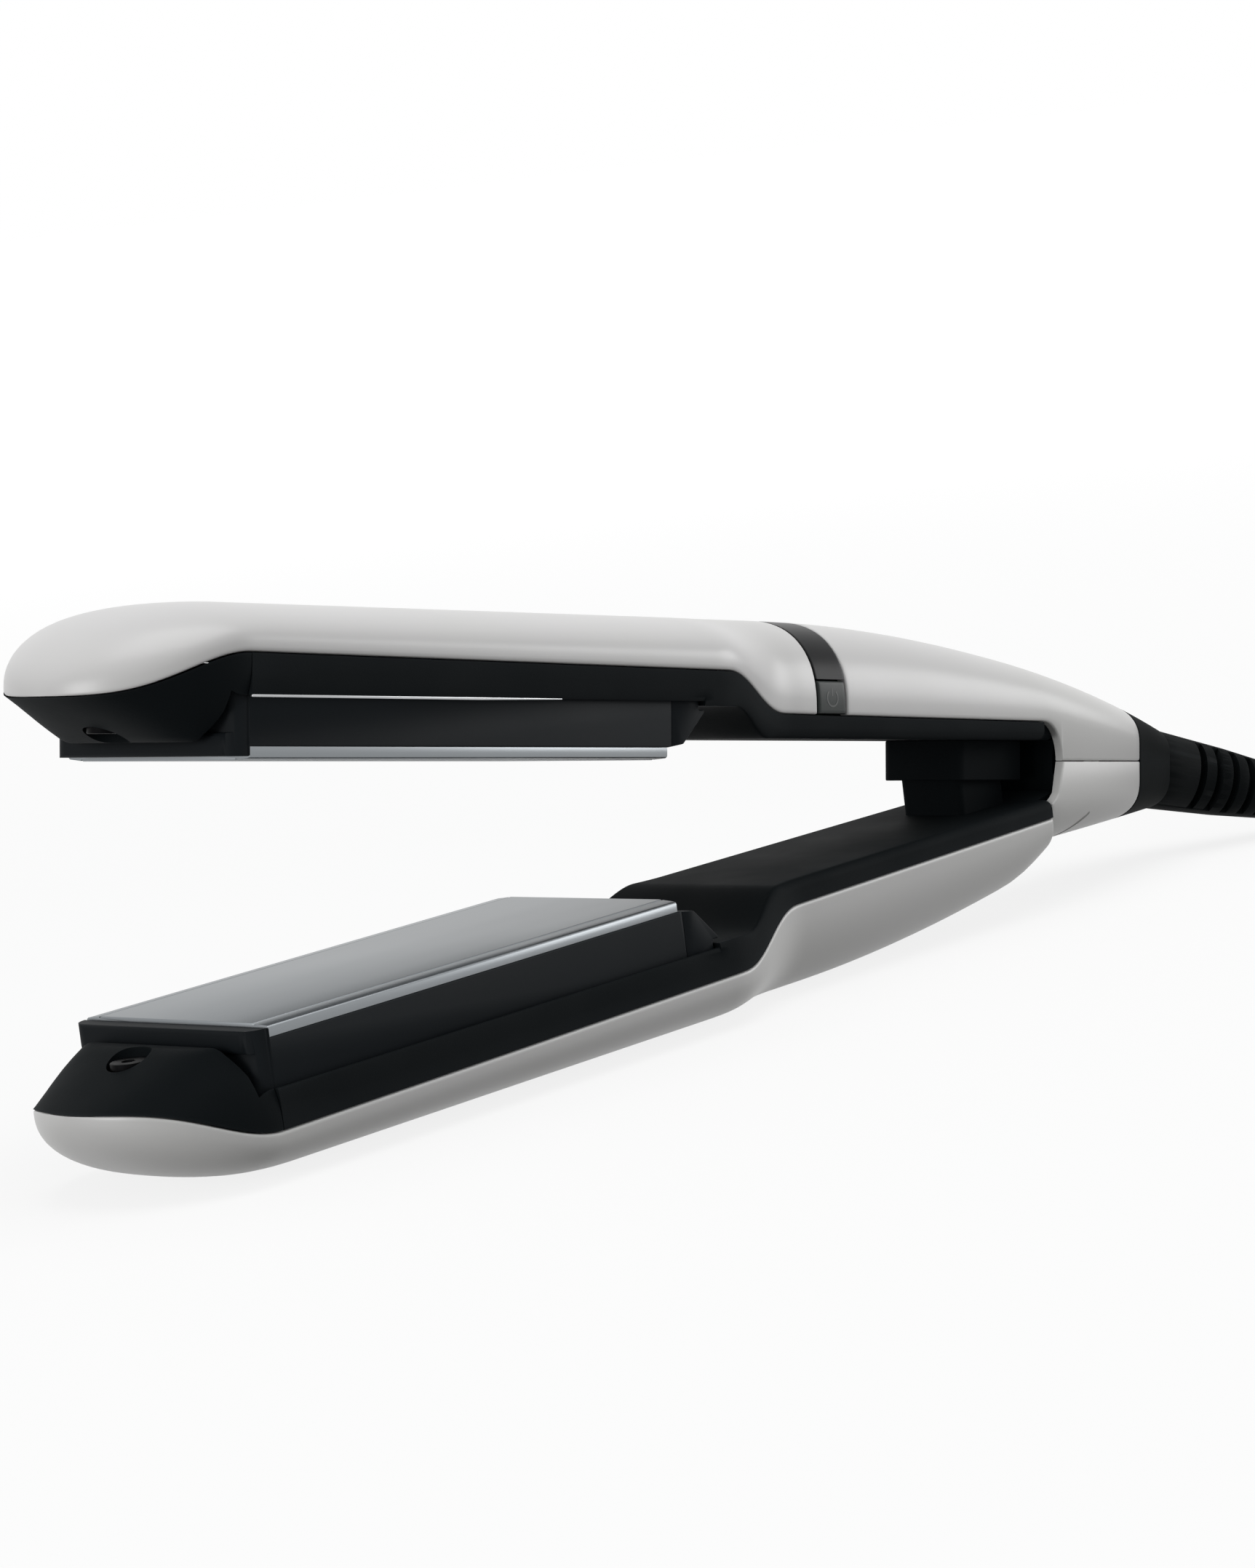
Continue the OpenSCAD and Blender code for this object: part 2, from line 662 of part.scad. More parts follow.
// Compression spring, from the floor of the post to the roof of the sleeve
spring_turns = 7;
spring_r = 4;
spring_foot = [post_mid * cos(open_angle) - post_floor * sin(open_angle), 0,
               -post_mid * sin(open_angle) - post_floor * cos(open_angle)];
spring_head = [post_mid + 0.4, 0, sleeve_top - sleeve_wall];
spring_len = norm(spring_head - spring_foot) - 2 * spring_wire / 2 - 0.6;
spring_lean = atan2(spring_head[0] - spring_foot[0], spring_head[2] - spring_foot[2]);
spring_path = [for (i = [0:8 * spring_turns])
    let (a = 45 * i)
    [spring_r * cos(a), spring_r * sin(a), spring_wire / 2 + 0.3 + spring_len * i / (8 * spring_turns)]];
module jaw_spring() {
    color(steel) upper_arm() translate(spring_foot) rotate([0, spring_lean, 0])
        tube(spring_path, spring_wire / 2, 6);
}

// ---- Hinge ----
module hinge_pin() {
    color(steel) upper_arm() across(-cheek_half - cheek_t, cheek_half + cheek_t) circle(pin_r);
}
module hinge_bushes() {
    color("goldenrod") lower_arm() for (side = [-1, 1])
        across_end(side, knuckle_half - bush_len + 0.05, knuckle_half) difference() {
            circle(pin_r + bush_t);
            circle(pin_r + pin_gap);
        }
}

// ---- Ring and button ----
button_low = 8.9;
button_mid = button_low + button_h / 2;
window_top = button_low + button_h + 0.5;
module accent_ring() {
    stations = [ring_u + seam / 2, ring_u + ring_len - seam / 2];
    color(black) upper_arm() difference() {
        skin([for (u = stations) shell_out(u, edge(u), front_base(u), crown(u))],
             [for (u = stations) shell_in(u, edge(u), front_base(u), crown(u), wall)]);
        block([ring_u - 1, 5, 0], [ring_u + ring_len + 1, body_half, window_top]);
    }
}

// Side of the handle at height h
function side_v(u, h) =
    let (t = (h - front_base(u)) / (crown(u) - front_base(u)))
    half_width(u) * power(1 - power(t, roundness), 1 / roundness);
module power_button() {
    stations = [ring_u + 0.3, ring_u + ring_len - 0.3];
    heights = [for (i = [0:4]) button_low + i * button_h / 4];
    back = half_width(ring_u) - wall - 0.6;
    color([0.24, 0.27, 0.26]) upper_arm() {
        skin([for (u = stations) [for (h = heights) [u, side_v(u, h), h]]],
             [for (u = stations) [for (h = heights) [u, back, h]]]);
        translate([ring_u + ring_len / 2, back + 0.01, button_mid]) rotate([90, 0, 0])
            cylinder(r = 1.5, h = back - switch_face - button_travel - 0.1);
    }
}
board_h = 8.2;
board_t = 1.6;
board_posts = [52, 72];
board_low = [board_posts[0] - 6, -handle_half + 5.9];
board_high = [ring_u + ring_len + 3.7, handle_half - 5.9];
relay = [10, 10, 6.4];
switch_face = 9.6;
module button_switch() {
    mid = ring_u + ring_len / 2;
    color("dimgray") upper_arm() {
        block([mid - 3, switch_face - 4.5, board_h + board_t + 0.05],
              [mid + 3, switch_face - 1, board_h + 5.5]);
        translate([mid, switch_face, button_mid]) rotate([90, 0, 0]) cylinder(r = 1.2, h = 1.2);
    }
}
module control_board() {
    color("darkgreen") upper_arm() {
        difference() {
            block([board_low[0], board_low[1], board_h + 0.02],
                  [board_high[0], board_high[1], board_h + board_t]);
            for (u = board_posts) translate([u, 0, board_h - 1]) cylinder(r = 1, h = 4);
        }
        translate([board_posts[0] + 4, -7, board_h + board_t]) cube(relay);
    }
}
module thermal_fuse() {
    color("tan") upper_arm() across(-3, 3)
        translate([heater_u + heater_len / 2 + 1.5, carrier_base + 1.4]) circle(1.3);
}

// ---- Swivel and boot ----
boot_dir = [-cos(boot_yaw) * cos(boot_droop), sin(boot_yaw) * cos(boot_droop), -sin(boot_droop)];
ball_at = [rim_u - ball_out, 0, (rim_top - rim_bottom) / 2];
boot_reach = boot_len + ball_out;

// Turns +Z of its children into the boot's axis
module along_boot() {
    translate(ball_at) rotate([0, 0, 180 - boot_yaw]) rotate([0, 90 + boot_droop, 0]) children();
}
slot_pitch = 4;
slot_w = 1.6;
slot_angle = 130;
module cord_boot() {
    color(black) upper_arm() along_boot() difference() {
        union() {
            intersection() {
                sphere(boot_r);
                translate([-boot_r, -boot_r, -ball_cut]) cube([2 * boot_r, 2 * boot_r, ball_cut + 2]);
            }
            rotate_extrude() polygon([
                [0, -ball_cut - 5.5], [flange_r, -ball_cut - 5.5], [flange_r, -ball_cut - 4], [neck_r, -ball_cut - 4],
                [neck_r, 0], [boot_r, 0], [mix(boot_r, boot_tip_r, 0.4), boot_reach * 0.5],
                [boot_tip_r, boot_reach], [0, boot_reach]
            ]);
        }
        for (i = [0:4], side = [0, 1])
            translate([0, 0, boot_reach * 0.45 + i * slot_pitch + side * slot_pitch / 2])
                rotate([0, 0, 90 + 180 * side - slot_angle / 2]) rotate_extrude(angle = slot_angle)
                    translate([cord_d / 2 + 1.2, 0]) square([boot_r, slot_w]);
    }
}
module swivel_bush() {
    color("dimgray") upper_arm() along_boot() translate([0, 0, -ball_cut - 3.7]) difference() {
        cylinder(r = 5.4, h = 3.4);
        translate([0, 0, -1]) cylinder(r = neck_r + 0.15, h = 6);
    }
}

// ---- Cord ----
cord_exit = to_world(ball_at + boot_reach * boot_dir);
cord_dir = to_world(ball_at + (boot_reach + 1) * boot_dir) - cord_exit;
cord_start = cord_exit + cord_d * cord_dir;
layer_low = cord_d / 2 + lift;
layer_top = layer_low + (hank_layers - 1) * coil_pitch;
hank_entry = [-270, 42.2, layer_low];
// Route from the boot to the hank
lead_points = [
    [-220.9, 19.3, 4.3], [-224.2, 21.3, 3.7], [-227.4, 23.5, 3.3], [-230.6, 25.8, 3.1], [-233.8, 28.1, 3.1],
    [-236.9, 30.5, 3.1], [-240.1, 32.7, 3.1], [-243.3, 34.9, 3.1], [-246.6, 36.9, 3.3], [-249.9, 38.7, 3.4],
    [-253.3, 40.1, 3.6], [-256.7, 41.2, 3.7], [-260.3, 42.1, 3.9], [-263, 42.2, 3.9]
];
lead_path = concat([cord_exit, cord_start], lead_points, [hank_entry + [cord_d, 0, 0]]);
module cord_lead() {
    color(black) tube(lead_path, cord_d / 2, 10);
}

// Each turn of the hank is a run and a fold, and both again on the other side. The turns
// wind in and out in layers, and climb where the winding reverses. The tie draws in the runs.
hank_outer = fold_r + hank_turns * coil_pitch;
hank_at = [hank_entry[0] - hank_run / 2, hank_entry[1] - hank_outer, 0];
fold_len = PI * (fold_r + hank_outer) / 2;
half_turn = hank_run + fold_len;
total_turns = hank_turns * hank_layers;
function waist(s) = waist_draw * pow(sin(180 * s / hank_run), 2);
function half_point(s, r) =
    s < hank_run
        ? [hank_run / 2 - s, r - waist(s), 0]
        : let (a = 180 * (s - hank_run) / fold_len) [-hank_run / 2 - r * sin(a), r * cos(a), 0];
function hank_point(n, r, z) =
    let (s = (n - floor(n)) * 2 * half_turn)
    hank_at + [0, 0, z] + (s < half_turn ? half_point(s, r) : -half_point(s - half_turn, r));
function hank_radius(n) =
    let (m = n - 2 * hank_turns * floor(n / (2 * hank_turns)))
    hank_outer - coil_pitch * min(m, 2 * hank_turns - m);
function total(values) = values * [for (v = values) 1];
function hank_climb(n, k) = clamp01(2 * (n - hank_turns * k) + 0.5);
function hank_height(n) = layer_low + coil_pitch * total([for (k = [1:hank_layers - 1]) hank_climb(n, k)]);

// The last fold leaves the hank as a tail that rises over it and ends beside the plug
tail_turn = total_turns - fold_len / (2 * half_turn);
tail_r = fold_r - 1;
plug_z = layer_top + cord_d / 2 + plug_t / 2 + 0.1;
function tail_point(t) = hank_point(
    mix(tail_turn, total_turns, t),
    mix(hank_radius(tail_turn), tail_r, ease((t - 0.3) / 0.6)),
    layer_top + (coil_pitch + 0.2) * ease(t / 0.4) + (plug_z - layer_top - coil_pitch - 0.2) * ease(2 * t - 1)
);
turn_path = [for (i = [0:floor(tail_turn * rings_per_turn)])
    let (n = i / rings_per_turn) hank_point(n, hank_radius(n), hank_height(n))];
tail_steps = rings_per_turn / 2;
tail_path = [for (i = [1:tail_steps]) tail_point(i / tail_steps)];
plug_at = tail_point(1) - [cord_d, 0, 0];
entry_path = [for (t = [1, 0.5]) hank_entry + [t * cord_d, 0, 0]];
hank_path = concat(entry_path, turn_path, tail_path, [plug_at]);
module cord_coil() {
    color(black) tube(hank_path, cord_d / 2, hank_sides);
}
hank_gap = min([for (i = [0:len(hank_path) - 14], j = [i + 13:len(hank_path) - 1])
    norm(hank_path[i] - hank_path[j])]) - cord_d;
echo(hank_gap = hank_gap);

// Strap round the waist of the hank
tie_w = 6;
tie_t = 0.6;
module cord_tie() {
    slack = 0.2 + cord_d / 2 - waist_draw;
    near = hank_outer + slack;
    far = hank_outer - coil_pitch * 0.4 + slack;
    inside = [near + far, layer_top - layer_low + cord_d + 0.1];
    color("dimgray") translate(hank_at + [-tie_w / 2, (near - far) / 2, (layer_low + layer_top) / 2])
        rotate([90, 0, 90]) linear_extrude(tie_w) difference() {
            round_rect(inside + 2 * [tie_t, tie_t], 2.5);
            round_rect(inside, 2);
        }
}

// ---- Plug ----
module at_plug() {
    translate(plug_at) rotate([0, -90, 0]) children();
}
neck_len = 20;
module plug_body() {
    color(black) at_plug() {
        cylinder(r1 = cord_d / 2 + 1, r2 = plug_t / 2 - 1.5, h = neck_len);
        hull() {
            translate([0, 0, neck_len - 1]) cylinder(r = plug_t / 2 - 1.5, h = 1, $fn = 32);
            translate([0, 0, neck_len + plug_len * 0.35]) linear_extrude(plug_len * 0.65 - 2, $fn = 32)
                round_rect([plug_t, plug_w], 4);
            translate([0, 0, neck_len + plug_len - 1]) linear_extrude(1, $fn = 32)
                round_rect([plug_t - 2, plug_w - 2], 3);
        }
    }
}
module plug_pins() {
    color("gold") at_plug() for (side = [-1, 1])
        translate([0, side * pin_pitch / 2, neck_len + plug_len]) {
            cylinder(r = plug_pin_r, h = plug_pin_len - plug_pin_r);
            translate([0, 0, plug_pin_len - plug_pin_r]) sphere(plug_pin_r);
        }
}

upper_shell_front();
upper_shell_rear();
rear_cap();
upper_frame();
upper_nose();
upper_carrier();
upper_plate();
upper_heater();
upper_cushions();
spring_sleeve();
accent_ring();
power_button();
button_switch();
control_board();
thermal_fuse();
hinge_pin();
hinge_bushes();
jaw_spring();
swivel_bush();
cord_boot();
lower_shell();
lower_frame();
lower_nose();
lower_carrier();
lower_plate();
lower_heater();
lower_cushions();
upper_nose_screw();
lower_nose_screw();
cord_lead();
cord_coil();
cord_tie();
plug_body();
plug_pins();
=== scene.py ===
"""Dresses the solids of a hair iron: smooth shells, covers, plates, boot and cord, with their finishes."""

import logging
import math
from collections.abc import Sequence
from dataclasses import dataclass, field
from enum import Enum

import bmesh
import bpy
from bpy.types import Material, Mesh, Node, NodeSocket, NodeTree, Object
from mathutils import Matrix, Vector


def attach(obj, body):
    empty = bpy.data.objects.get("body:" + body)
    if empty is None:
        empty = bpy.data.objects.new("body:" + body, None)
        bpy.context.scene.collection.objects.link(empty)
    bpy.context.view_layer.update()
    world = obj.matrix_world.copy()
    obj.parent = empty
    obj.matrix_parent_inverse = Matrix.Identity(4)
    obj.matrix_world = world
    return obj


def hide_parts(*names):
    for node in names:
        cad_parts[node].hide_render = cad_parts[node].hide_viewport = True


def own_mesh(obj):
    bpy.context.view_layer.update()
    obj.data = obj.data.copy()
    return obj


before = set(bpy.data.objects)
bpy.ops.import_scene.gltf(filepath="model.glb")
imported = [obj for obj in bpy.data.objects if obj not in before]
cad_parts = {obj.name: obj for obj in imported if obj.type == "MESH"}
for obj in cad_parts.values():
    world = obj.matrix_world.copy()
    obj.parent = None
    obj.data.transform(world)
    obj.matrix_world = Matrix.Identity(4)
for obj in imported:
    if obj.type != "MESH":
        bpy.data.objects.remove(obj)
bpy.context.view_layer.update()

MM = 0.001
log = logging.getLogger("hair_iron")

Flat = tuple[float, float]
Line = list[Flat]
Point = tuple[float, float, float]
Box = tuple[float, float, float, float]
Row = list[Point]
Faces = list[list[int]]


# ---------------- small maths


def mix(a: float, b: float, t: float) -> float:
    """Value between a and b at share t."""
    return a + (b - a) * t


def share(value: float, start: float, end: float) -> float:
    """How far a value has come from start to end, held between 0 and 1."""
    return max(0.0, min(1.0, (value - start) / (end - start)))


def ease(t: float) -> float:
    """Smooth step of t."""
    c = share(t, 0, 1)
    return c * c * (3 - 2 * c)


def power(x: float, p: float) -> float:
    """x to the power p, and 0 for x below 0."""
    return 0.0 if x <= 0 else x**p


def steps(start: float, end: float, count: int) -> list[float]:
    """Evenly spaced values, with both ends."""
    return [start + (end - start) * i / count for i in range(count + 1)]


def fan(start: float, end: float, count: int) -> list[float]:
    """Evenly spaced angles with both ends, from degrees to radians."""
    return [math.radians(d) for d in steps(start, end, count)]


def rounding(distance: float, radius: float) -> float:
    """How far a quarter-round edge lies inside its surface at a distance from the end."""
    if distance >= radius:
        return 0.0
    return radius - math.sqrt(max(radius**2 - (radius - distance) ** 2, 0.0))


# ---------------- shape of the arms


class Arm(Enum):
    """The two arms, by the body that carries each."""

    UPPER = "upper_arm"
    LOWER = "lower_arm"


@dataclass(frozen=True)
class Stance:
    """Where the two arms stand, in mm and degrees."""

    rest_u: float = 150.0
    hinge_z: float = 25.5
    opening: float = 10.0

    def world(self, arm: Arm, p: Sequence[float]) -> Point:
        """Place of an arm point (u, v, h) in the scene.

        Args:
            arm: the arm that the point is on.
            p: u from the hinge to the nose, v across, h away from the mating plane, in mm.

        Returns:
            The point in metres.
        """
        u, v, h = p
        if arm is Arm.LOWER:
            return ((u - self.rest_u) * MM, v * MM, (self.hinge_z - h) * MM)
        c, s = math.cos(math.radians(self.opening)), math.sin(math.radians(self.opening))
        return ((u * c - h * s - self.rest_u) * MM, v * MM, (self.hinge_z + u * s + h * c) * MM)

    def direction(self, arm: Arm, d: Sequence[float]) -> Vector:
        """Direction of an arm vector in the scene."""
        return (Vector(self.world(arm, d)) - Vector(self.world(arm, (0, 0, 0)))).normalized()


@dataclass(frozen=True)
class ArmShape:
    """Section of an arm along its length, in mm. A bend is the exponent of a curve."""

    tip_u: float = 260.0
    nose_u: float = 236.0
    body_half: float = 22.5
    handle_half: float = 16.4
    handle_swell: float = 0.8
    crown_h: float = 25.49
    crown_bend: float = 1.93
    crown_drop: float = 32.0
    tip_rise: float = 0.3
    wall: float = 1.8
    seam: float = 0.15
    rim_u: float = -31.0
    rim_half: float = 8.8
    rim_top: float = 7.3
    rim_bottom: float = 9.6
    rim_wall: float = 0.4
    rim_wall_len: float = 9.0
    rim_base: float = 1.4
    rear_bend: float = 1.8
    white_u: float = -15.5
    fork_u: float = 15.2
    fork_len: float = 6.1
    cap_bottom: float = 16.6
    cap_sides: Flat = (2.6, 6.0)
    lower_end_u: float = 20.2
    grip_u: float = 20.0
    fall_u: float = 90.0
    flare_u: float = 97.0
    flare_len: float = 27.0
    sweep_u: float = 99.5
    sweep_len: float = 21.5
    band_len: float = 115.0
    edge_rear: float = 7.5
    edge_grip: float = 8.4
    edge_sweep: float = 15.7
    edge_front: float = 17.0
    edge_tip: float = 10.1
    side_flat: float = 0.8
    roundness: float = 2.4
    arc_steps: int = 40
    ring_u: float = 81.8
    ring_len: float = 8.5
    heel_drop: float = 3.0
    heel_len: float = 10.0

    def nose_share(self, u: float) -> float:
        """Share of the nose's length at u."""
        return share(u, self.nose_u, self.tip_u)

    def rear_share(self, u: float) -> float:
        """Share of the rear housing's length at u."""
        return share(u, self.grip_u, self.rim_u)

    def half_width(self, u: float) -> float:
        """Half the arm's width at u."""
        grip = self.handle_half + self.handle_swell * share(u, self.grip_u, self.flare_u)
        rear = grip - (self.handle_half - self.rim_half) * power(self.rear_share(u), self.rear_bend)
        full = mix(rear, self.body_half, ease((u - self.flare_u) / self.flare_len))
        return full * power(1 - self.nose_share(u) ** 2, 0.5)

    def crown(self, u: float) -> float:
        """Height of the crown at u."""
        drop = share(u, self.tip_u - self.crown_drop, self.tip_u)
        if drop > 0:
            return mix(self.edge_tip + self.tip_rise, self.crown_h, power(1 - drop**2, 0.5))
        fall = power(share(u, self.fall_u, self.rim_u), self.crown_bend)
        return mix(self.crown_h, self.rim_top, fall)

    def sweep_share(self, u: float) -> float:
        """Share of the S-shaped sweep at u."""
        return ease((u - self.sweep_u) / self.sweep_len)

    def edge(self, u: float) -> float:
        """Height of the shell's lower edge at u."""
        if u > self.nose_u:
            return mix(self.edge_tip, self.edge_front, math.cos(math.pi / 2 * self.nose_share(u)) ** 2)
        handle = mix(self.edge_rear, self.edge_grip, share(u, self.grip_u, self.sweep_u))
        start = self.sweep_u + self.sweep_len
        band = mix(self.edge_sweep, self.edge_front, share(u, start, start + self.band_len))
        return mix(handle, band, self.sweep_share(u))

    def base(self, u: float) -> float:
        """Height where the section's curve starts above the edge."""
        if self.nose_share(u) > 0.999:
            return self.edge(u)
        return min(self.edge(u) + self.side_flat, mix(self.edge(u), self.crown(u), 0.3))

    def rear_low(self, u: float) -> float:
        """Lower edge of the rear shell: parting seam, fork and handle."""
        end = self.fork_u + self.fork_len
        if u >= end:
            return self.edge(u)
        return max(self.seam / 2, self.edge_rear * math.sqrt(1 - share(u, end, self.fork_u) ** 2))

    def rear_base(self, u: float) -> float:
        """Start of the rear shell's curve."""
        housing = mix(self.edge_rear + self.side_flat, self.rim_base, self.rear_share(u))
        return max(self.rear_low(u) + self.side_flat, housing)

    def cap_depth(self, u: float) -> float:
        """Depth of the cap's lowest line below the parting seam."""
        return mix(self.rim_bottom, self.cap_bottom, share(u, self.rim_u, self.fork_u))

    def cap_base(self, u: float) -> float:
        """Depth where the cap's side starts to curve in."""
        return mix(*self.cap_sides, share(u, self.rim_u, self.fork_u))

    def rear_wall(self, u: float) -> float:
        """Wall of the rear housing, thin at the rim."""
        return mix(self.rim_wall, self.wall, ease((u - self.rim_u) / self.rim_wall_len))

    def arc(self, width: float, base: float, top: float) -> Line:
        """Points (v, h) of a superellipse from the near edge over the crown to the far edge."""
        bend = 2 / self.roundness
        points = []
        for a in fan(0, 180, self.arc_steps):
            v = width * math.copysign(power(abs(math.cos(a)), bend), math.cos(a))
            points.append((v, mix(base, top, power(math.sin(a), bend))))
        return points

    def across(self, u: float, h: float, base: float, top: float) -> float:
        """Half width of the outside at height h, on a curve from base to top."""
        lift = share(h, base, top)
        return self.half_width(u) * power(1 - power(lift, self.roundness), 1 / self.roundness)

    def side_v(self, u: float, h: float) -> float:
        """Half width of a shell's outside at height h."""
        return self.across(u, h, self.base(u), self.crown(u))

    def cap_v(self, u: float, h: float) -> float:
        """Half width of the cap's outside at height h, which is below zero."""
        return self.across(u, -h, self.cap_base(u), self.cap_depth(u))


STANCE = Stance()
SHAPE = ArmShape()


# ---------------- mesh tools


def linked(name: str, data: bpy.types.ID) -> Object:
    """New object around its data, in the scene."""
    obj = bpy.data.objects.new(name, data)
    bpy.context.scene.collection.objects.link(obj)
    return obj


def solid(name: str, points: Sequence[Point], faces: Faces, sharp: float = 38) -> Object:
    """Makes a closed mesh object with soft shading.

    Args:
        name: the object's name.
        points: corners in metres.
        faces: corner numbers of each face.
        sharp: angle in degrees above which an edge stays sharp.

    Returns:
        The new object, linked to the scene.
    """
    mesh = bpy.data.meshes.new(name)
    mesh.from_pydata(points, [], faces)
    weld(mesh, sharp)
    return linked(name, mesh)


def weld(mesh: Mesh, sharp: float) -> None:
    """Welds a mesh, turns its faces outward and shades it softly up to an angle."""
    bm = bmesh.new()
    bm.from_mesh(mesh)
    bmesh.ops.remove_doubles(bm, verts=bm.verts, dist=2e-6)
    bmesh.ops.dissolve_degenerate(bm, dist=1e-7, edges=bm.edges)
    bmesh.ops.recalc_face_normals(bm, faces=bm.faces)
    bm.to_mesh(mesh)
    bm.free()
    mesh.validate()
    mesh.shade_smooth()
    mesh.set_sharp_from_angle(angle=math.radians(sharp))


def skin_faces(rows: int, cols: int, tip: bool = False) -> Faces:
    """Faces of the closed solid between two grids, the second numbered after the first."""
    k = rows * cols
    faces = []
    for r in range(rows - 1):
        for c in range(cols - 1):
            a, b = r * cols + c, (r + 1) * cols + c
            faces.append([a, b, b + 1, a + 1])
            faces.append([k + a, k + a + 1, k + b + 1, k + b])
        a, b = r * cols, (r + 1) * cols
        faces.append([a, k + a, k + b, b])
        a, b = a + cols - 1, b + cols - 1
        faces.append([a, b, k + b, k + a])
    for c in range(cols - 1):
        faces.append([c, c + 1, k + c + 1, k + c])
        if not tip:
            a = (rows - 1) * cols + c
            faces.append([a, k + a, k + a + 1, a + 1])
    return faces


def skin(
    name: str, arm: Arm, outer: Sequence[Row], inner: Sequence[Row], tip: bool = False, sharp: float = 38
) -> Object:
    """Makes the closed solid between two grids of arm points.

    Args:
        name: the object's name.
        arm: the arm that it is on.
        outer: rows of the outside.
        inner: rows of the inside, as many and as long.
        tip: whether the last rows meet in a point, so that no face closes them.
        sharp: angle in degrees above which an edge stays sharp.

    Returns:
        The new object.
    """
    points = [STANCE.world(arm, p) for grid in (outer, inner) for row in grid for p in row]
    return solid(name, points, skin_faces(len(outer), len(outer[0]), tip), sharp)


def row_at(u: float, near: Sequence[Flat], over: Sequence[Flat] = ()) -> Row:
    """Section at u from points (v, h): the near side, what spans to the far side, and the far side."""
    return [(u, v, h) for v, h in (*near, *over, *((-v, h) for v, h in reversed(near)))]


def extruded(name: str, arm: Arm, start: Row, end: Row, sharp: float = 30) -> Object:
    """Closed solid between two outlines of arm points."""
    n = len(start)
    sides = [[i, (i + 1) % n, n + (i + 1) % n, n + i] for i in range(n)]
    ends = [list(range(n)), list(range(2 * n - 1, n - 1, -1))]
    return solid(name, [STANCE.world(arm, p) for p in (*start, *end)], ends + sides, sharp)


def prism(name: str, arm: Arm, profile: Sequence[Flat], low: float, high: float) -> Object:
    """Side profile in (u, h), extruded across from v low to v high."""
    return extruded(name, arm, *([(u, v, h) for u, h in profile] for v in (low, high)))


def column(name: str, arm: Arm, outline: Sequence[Flat], low: float, high: float) -> Object:
    """Plan outline in (u, v), extruded from h low to h high."""
    return extruded(name, arm, *([(u, v, h) for u, v in outline] for h in (low, high)))


def circle(radius: float, at: Flat = (0, 0), count: int = 64, start: float = 0, end: float = 360) -> Line:
    """Points of a circle or arc, by angle in degrees."""
    angles = fan(start, end, count)
    if abs(end - start) >= 360:
        angles.pop()
    return [(at[0] + radius * math.cos(a), at[1] + radius * math.sin(a)) for a in angles]


def round_box(length: float, width: float, radius: float, mid: float) -> Line:
    """Outline of a rectangle with round corners, centred on (mid, 0)."""
    points = []
    for i, (x, y) in enumerate([(1, 1), (-1, 1), (-1, -1), (1, -1)]):
        centre = (mid + x * (length / 2 - radius), y * (width / 2 - radius))
        points += circle(radius, centre, 8, 90 * i, 90 * i + 90)
    return points


def baked(obj: Object, sharp: float = 38) -> Object:
    """Applies an object's modifiers to its mesh."""
    graph = bpy.context.evaluated_depsgraph_get()
    mesh = bpy.data.meshes.new_from_object(obj.evaluated_get(graph))
    obj.modifiers.clear()
    obj.data = mesh
    weld(mesh, sharp)
    return obj


class Join(Enum):
    """Ways to join two solids."""

    CUT = "DIFFERENCE"
    ADD = "UNION"


def join(obj: Object, tools: Sequence[Object], how: Join, sharp: float = 38) -> Object:
    """Cuts solids out of an object or adds them to it, and removes them from the scene."""
    for tool in tools:
        step = obj.modifiers.new("join", "BOOLEAN")
        step.operation, step.solver, step.object = how.value, "EXACT", tool
    baked(obj, sharp)
    for tool in tools:
        bpy.data.objects.remove(tool)
    return obj


def round_edges(obj: Object, width: float, segments: int = 2, angle: float = 30) -> Object:
    """Rounds an object's sharp edges by a width in mm."""
    bevel = obj.modifiers.new("edges", "BEVEL")
    bevel.width, bevel.segments = width * MM, segments
    bevel.limit_method, bevel.angle_limit = "ANGLE", math.radians(angle)
    bevel.miter_outer = "MITER_ARC"
    return baked(obj, 42)


def moulded_copy(name: str, node: str, width: float = 0.0, segments: int = 2) -> Object:
    """Copies a solid of the frame as one welded mesh with rounded edges.

    Args:
        name: name of the copy.
        node: the solid.
        width: width of the rounding in mm.
        segments: faces across each rounding.

    Returns:
        The copy, linked to the scene.
    """
    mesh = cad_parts[node].data.copy()
    mesh.name = name
    mesh.materials.clear()
    bm = bmesh.new()
    bm.from_mesh(mesh)
    bmesh.ops.remove_doubles(bm, verts=bm.verts, dist=2e-6)
    bmesh.ops.dissolve_limit(bm, angle_limit=math.radians(1.5), verts=bm.verts, edges=bm.edges)
    bm.to_mesh(mesh)
    bm.free()
    obj = linked(name, mesh)
    return round_edges(obj, width, segments) if width > 0 else baked(obj)


def tube(name: str, path: Sequence[Vector], radii: Sequence[float], sides: int = 16) -> Object:
    """Round closed tube along a path, with its own radius at each point, in metres."""
    points, last = [], len(path) - 1
    for i, at in enumerate(path):
        t = (path[min(i + 1, last)] - path[max(i - 1, 0)]).normalized()
        side = Vector((0, 0, 1)).cross(t).normalized()
        up = t.cross(side)
        for a in fan(0, 360, sides)[:-1]:
            points.append(tuple(at + radii[i] * (math.cos(a) * side + math.sin(a) * up)))
    faces = []
    for i in range(last):
        for j in range(sides):
            k = (j + 1) % sides
            faces.append([i * sides + j, (i + 1) * sides + j, (i + 1) * sides + k, i * sides + k])
    faces += [list(range(sides)), [last * sides + j for j in range(sides)][::-1]]
    return solid(name, points, faces, 50)


# ---------------- finishes


